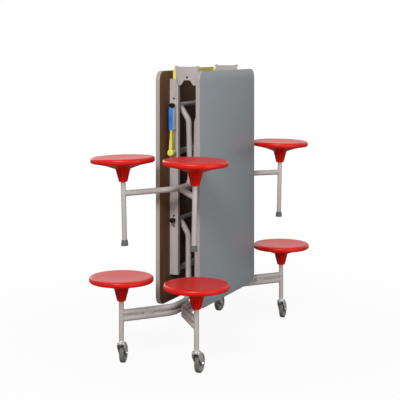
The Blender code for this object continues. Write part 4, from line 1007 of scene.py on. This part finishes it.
for (tier, side_name), (body, lean) in FRAMES.items():
    side = SIDES[side_name]
    for end_name, end in ENDS.items():
        place = f"{tier}_{side_name}_{end_name}"
        top = PIVOTS[tier] - SEAT_DROP
        upright = seat(side, end, top)
        below = np.clip((top - upright[0][:, 2] - RIM_DEPTH) / RIM_EASE, 0, 1)
        made = piece(f"stool_seat_{place}", [leant(upright, side, tier, lean)], red,
                     body, f"seat_{place}")
        underside = made.data.attributes.new("underside", "FLOAT", "POINT")
        underside.data.foreach_set("value", below.astype(np.float32))


# Rubber feet
# Grey rubber feet with a rolled rim, pushed over the lower ends of the upper frames' posts. They
# spread a little towards the floor that they stand on when the table is open.

FOOT_DROP = 0.690
FOOT = (
    (0.0129, 0.029, 0), (0.016, 0.029, 0.0014), (0.0162, 0.020, 0.012),
    (0.018, 0.010, 0.012), (0.018, 0, 0.0018), (0, 0, 0), (0, 0.008, 0), (0.0129, 0.008, 0),
)

foot_rubber = Finish("grey_foot_rubber")
bloom = foot_rubber.clouds(45, detail=4, rough=0.65)
foot_rubber.colour(bloom, (78, 78, 78), (104, 103, 102), 0.3, 0.75)
foot_rubber.gloss(bloom, 0.62, 0.85)
foot_rubber.relief(foot_rubber.clouds(900, detail=3), 0.0001, 0.6)

for side_name, side in SIDES.items():
    body, lean = FRAMES["upper", side_name]
    for end_name, end in ENDS.items():
        place = f"{side_name}_{end_name}"
        centre = (side * POST_X, end * POST_Y, PIVOTS["upper"] - FOOT_DROP)
        foot = leant(lathed(FOOT, centre, "Z", 40, 5, loop=True), side, "upper", lean)
        piece(f"rubber_foot_{place}", [foot], foot_rubber, body, f"foot_upper_{place}")


# Castor forks
# A pressed steel fork, zinc plated, on a stem that turns in the post of each lower frame. Black
# plastic thread guards, cut off below the bolt that carries the wheel, sit inside its legs.

CASTOR_TURNS = {
    ("left", "front"): 14, ("right", "front"): 4, ("right", "rear"): 6, ("left", "rear"): -4}
TRAIL = 0.042
AXLE_Z = 0.04924
AXLE = (TRAIL, AXLE_Z)
CROWN = (
    (0, 0.1615, 0), (0.0055, 0.1615, 0.001), (0.0055, 0.1232, 0), (0.0125, 0.1232, 0.0012),
    (0.0125, 0.1182, 0.002), (0.022, 0.1157, 0.003), (0.022, 0.1067, 0.0015), (0, 0.1067, 0),
)
ROOF = ((-0.0191, -0.0166), (0.0191, 0.0226))
ROOF_TURN = 0.003
ROOF_Z = (0.1040, 0.1070)
LEG_END = 0.011
LEG_OUTLINE = (
    (-0.017, 0.1095, 0.003), (-0.017, 0.0920, 0.012), (TRAIL - LEG_END, AXLE_Z - LEG_END, LEG_END),
    (TRAIL + LEG_END, AXLE_Z - LEG_END, LEG_END), (TRAIL + LEG_END, AXLE_Z + LEG_END, LEG_END),
    (0.023, 0.1095, 0.003),
)
LEG_X = (0.0167, 0.0195)
NUT_RADIUS = 0.007
NUT_X = (0.0193, 0.0235)
BOLT_RADIUS = 0.004
BOLT_END = 0.0215
GUARD_RADIUS = 0.025
GUARD_CUT = 20
GUARD_X = (0.0145, 0.0172)


def pair(loop, near, far, edge=0.0008, steps=2):
    """Plate on each side of a castor, between two distances from its middle."""
    return [plate([loop], side * near, side * far, "X", edge, steps) for side in (-1, 1)]


def at_post(shells, side_name, end_name):
    """Shells of a castor moved under its post and swivelled as it was left."""
    base = np.array((SIDES[side_name] * POST_X, ENDS[end_name] * POST_Y, 0))
    turn = CASTOR_TURNS[side_name, end_name]
    return [swung((points + base, groups), base, turn, (0, 0, 1)) for points, groups in shells]


fork = [
    lathed(CROWN, (0, 0, 0), "Z", 48, 4),
    plate([rectangle(*ROOF, ROOF_TURN)], *ROOF_Z, "Z"),
    *pair(rounded(LEG_OUTLINE), *LEG_X, edge=0.0007, steps=3),
    *pair(circle(AXLE, NUT_RADIUS, 6), *NUT_X),
    rod(BOLT_RADIUS, -BOLT_END, BOLT_END, (0, *AXLE), "X"),
]
guards = pair(arc(AXLE, GUARD_RADIUS, -GUARD_CUT, 180 + GUARD_CUT, 40), *GUARD_X)
for side_name, end_name in CASTOR_TURNS:
    place = f"{side_name}_{end_name}"
    body, node = f"castor_swivel_{place}", f"castor_fork_{place}"
    piece(f"fork_{place}", at_post(fork, side_name, end_name), zinc, body, node)
    piece(f"thread_guards_{place}", at_post(guards, side_name, end_name), black,
          body, node)


# Castor wheels
# A grey rubber tyre with a low crown, moulded on a dished plastic centre whose hub stands a
# little proud and turns on the fork's bolt. The tread is worn smooth and a little dusty.

TYRE_HALF = ((0.040, 0.0112, 0), (0.0425, 0.0125, 0.002), (0.0492, 0.0105, 0.0045))
TYRE_CROWN = (0.0500, 0, 0.06)
TYRE_WEAR = 0.985
CENTRE_HALF = (
    (0.0045, 0.0137, 0.0004), (0.013, 0.0137, 0.001), (0.0135, 0.0085, 0.001),
    (0.037, 0.0085, 0.0015), (0.0395, 0.0112, 0.0004),
)

tread_rubber = Finish("grey_tyre_rubber")
scuffed = tread_rubber.clouds(75, detail=5, rough=0.7)
tread_rubber.colour(scuffed, (86, 82, 79), (118, 113, 107), 0.32, 0.72)
tread_rubber.gloss(scuffed, 0.5, 0.8, 0.3, 0.75)
tread_rubber.relief(tread_rubber.clouds(700, detail=3), 0.00012, 0.6)

plastic = Finish("pale_grey_wheel_centre")
cloudy = plastic.clouds(70, detail=4)
plastic.colour(cloudy, (140, 140, 139), (160, 160, 158))
plastic.gloss(cloudy, 0.36, 0.55)
plastic.relief(plastic.clouds(1200, detail=2), 0.00005, 0.5)


tread = rounded(mirrored(TYRE_HALF, TYRE_CROWN)) * (TYRE_WEAR, 1)
tyre = turned(tread, (0, *AXLE), "X", 72, loop=True)
wheel_centre = lathed(mirrored(CENTRE_HALF), (0, *AXLE), "X", 48, 3, loop=True)

for side_name, end_name in CASTOR_TURNS:
    place = f"{side_name}_{end_name}"
    body = node = f"castor_wheel_{place}"
    for name, shell, finish in ("tyre", tyre, tread_rubber), ("wheel_centre", wheel_centre, plastic):
        shells = at_post([shell], side_name, end_name)
        piece(f"{name}_{place}", shells, finish, body, node)


# Floor and light
# A plain white studio floor that keeps the object's soft shadow and pales to the background's
# white away from it. An even dome, a high key lamp, and weaker ones at the side and back.

FLOOR_RADIUS = 60
LAMP_AIM = (0, 0, 0.8)


def joined(tree, kind, *sockets, operation=None):
    """Output of a new node whose inputs are linked, in order, to sockets."""
    made = tree.nodes.new("ShaderNode" + kind)
    if operation:
        made.operation = operation
    for index, socket in enumerate(sockets):
        tree.links.new(socket, made.inputs[index])
    return made.outputs[0]


floor_mesh = bpy.data.meshes.new("floor")
rim = circle((0, 0), FLOOR_RADIUS, 64)
floor_mesh.from_pydata([(x, y, 0) for x, y in rim], [], [list(range(64))])
floor = bpy.data.objects.new("floor", floor_mesh)
bpy.context.scene.collection.objects.link(floor)
white = Finish("white_floor")
white.surface.inputs["Roughness"].default_value = 0.8
reach = white.node("VectorMath", Vector=white.place)
reach.operation = "LENGTH"
glow = white.node("Emission", Strength=1.0).outputs["Emission"]
seen = white.node("LightPath").outputs["Is Camera Ray"]
tint = white.between(seen, (150, 150, 150), (240, 240, 240))
white.tree.links.new(tint, white.surface.inputs["Base Color"])
pale = white.spread(reach.outputs["Value"], 0.9, 2.6, 0.92, 1.0)
share = joined(white.tree, "Math", seen, pale, operation="MULTIPLY")
mixed = joined(white.tree, "MixShader", share, white.surface.outputs["BSDF"], glow)
white.tree.links.new(mixed, white.tree.nodes["Material Output"].inputs["Surface"])
floor_mesh.materials.append(white.material)

world = bpy.data.worlds.new("studio")
world.use_nodes = True
bpy.context.scene.world = world
sky = world.node_tree
dome = sky.nodes["Background"]
dome.inputs["Strength"].default_value = 0.28
backdrop = sky.nodes.new("ShaderNodeBackground")
for background in (dome, backdrop):
    background.inputs["Color"].default_value = (1, 1, 1, 1)
rays = sky.nodes.new("ShaderNodeLightPath").outputs
seen = joined(sky, "Math", rays["Is Camera Ray"], rays["Is Glossy Ray"], operation="MAXIMUM")
seen = joined(sky, "Math", seen, rays["Is Transmission Ray"], operation="MAXIMUM")
choice = joined(sky, "MixShader", seen, dome.outputs[0], backdrop.outputs[0])
sky.links.new(choice, sky.nodes["World Output"].inputs["Surface"])


def lamp(name, place, width, watts):
    """Square area lamp turned to face the middle of the table."""
    light = bpy.data.lights.new(name, "AREA")
    light.size = width
    light.energy = watts
    made = bpy.data.objects.new(name, light)
    made.location = place
    x, y, z = np.array(LAMP_AIM) - place
    made.rotation_euler = (math.atan2(math.hypot(x, y), -z), 0, math.atan2(-x, y))
    bpy.context.scene.collection.objects.link(made)


lamp("key_lamp", (1.6, -9.9, 7.4), 3.6, 1080)
lamp("fill_lamp", (4.8, -1.6, 1.2), 2.4, 63)
lamp("back_lamp", (-4.4, 3.4, 2.8), 2.4, 40)

bpy.context.scene.view_settings.view_transform = "Standard"
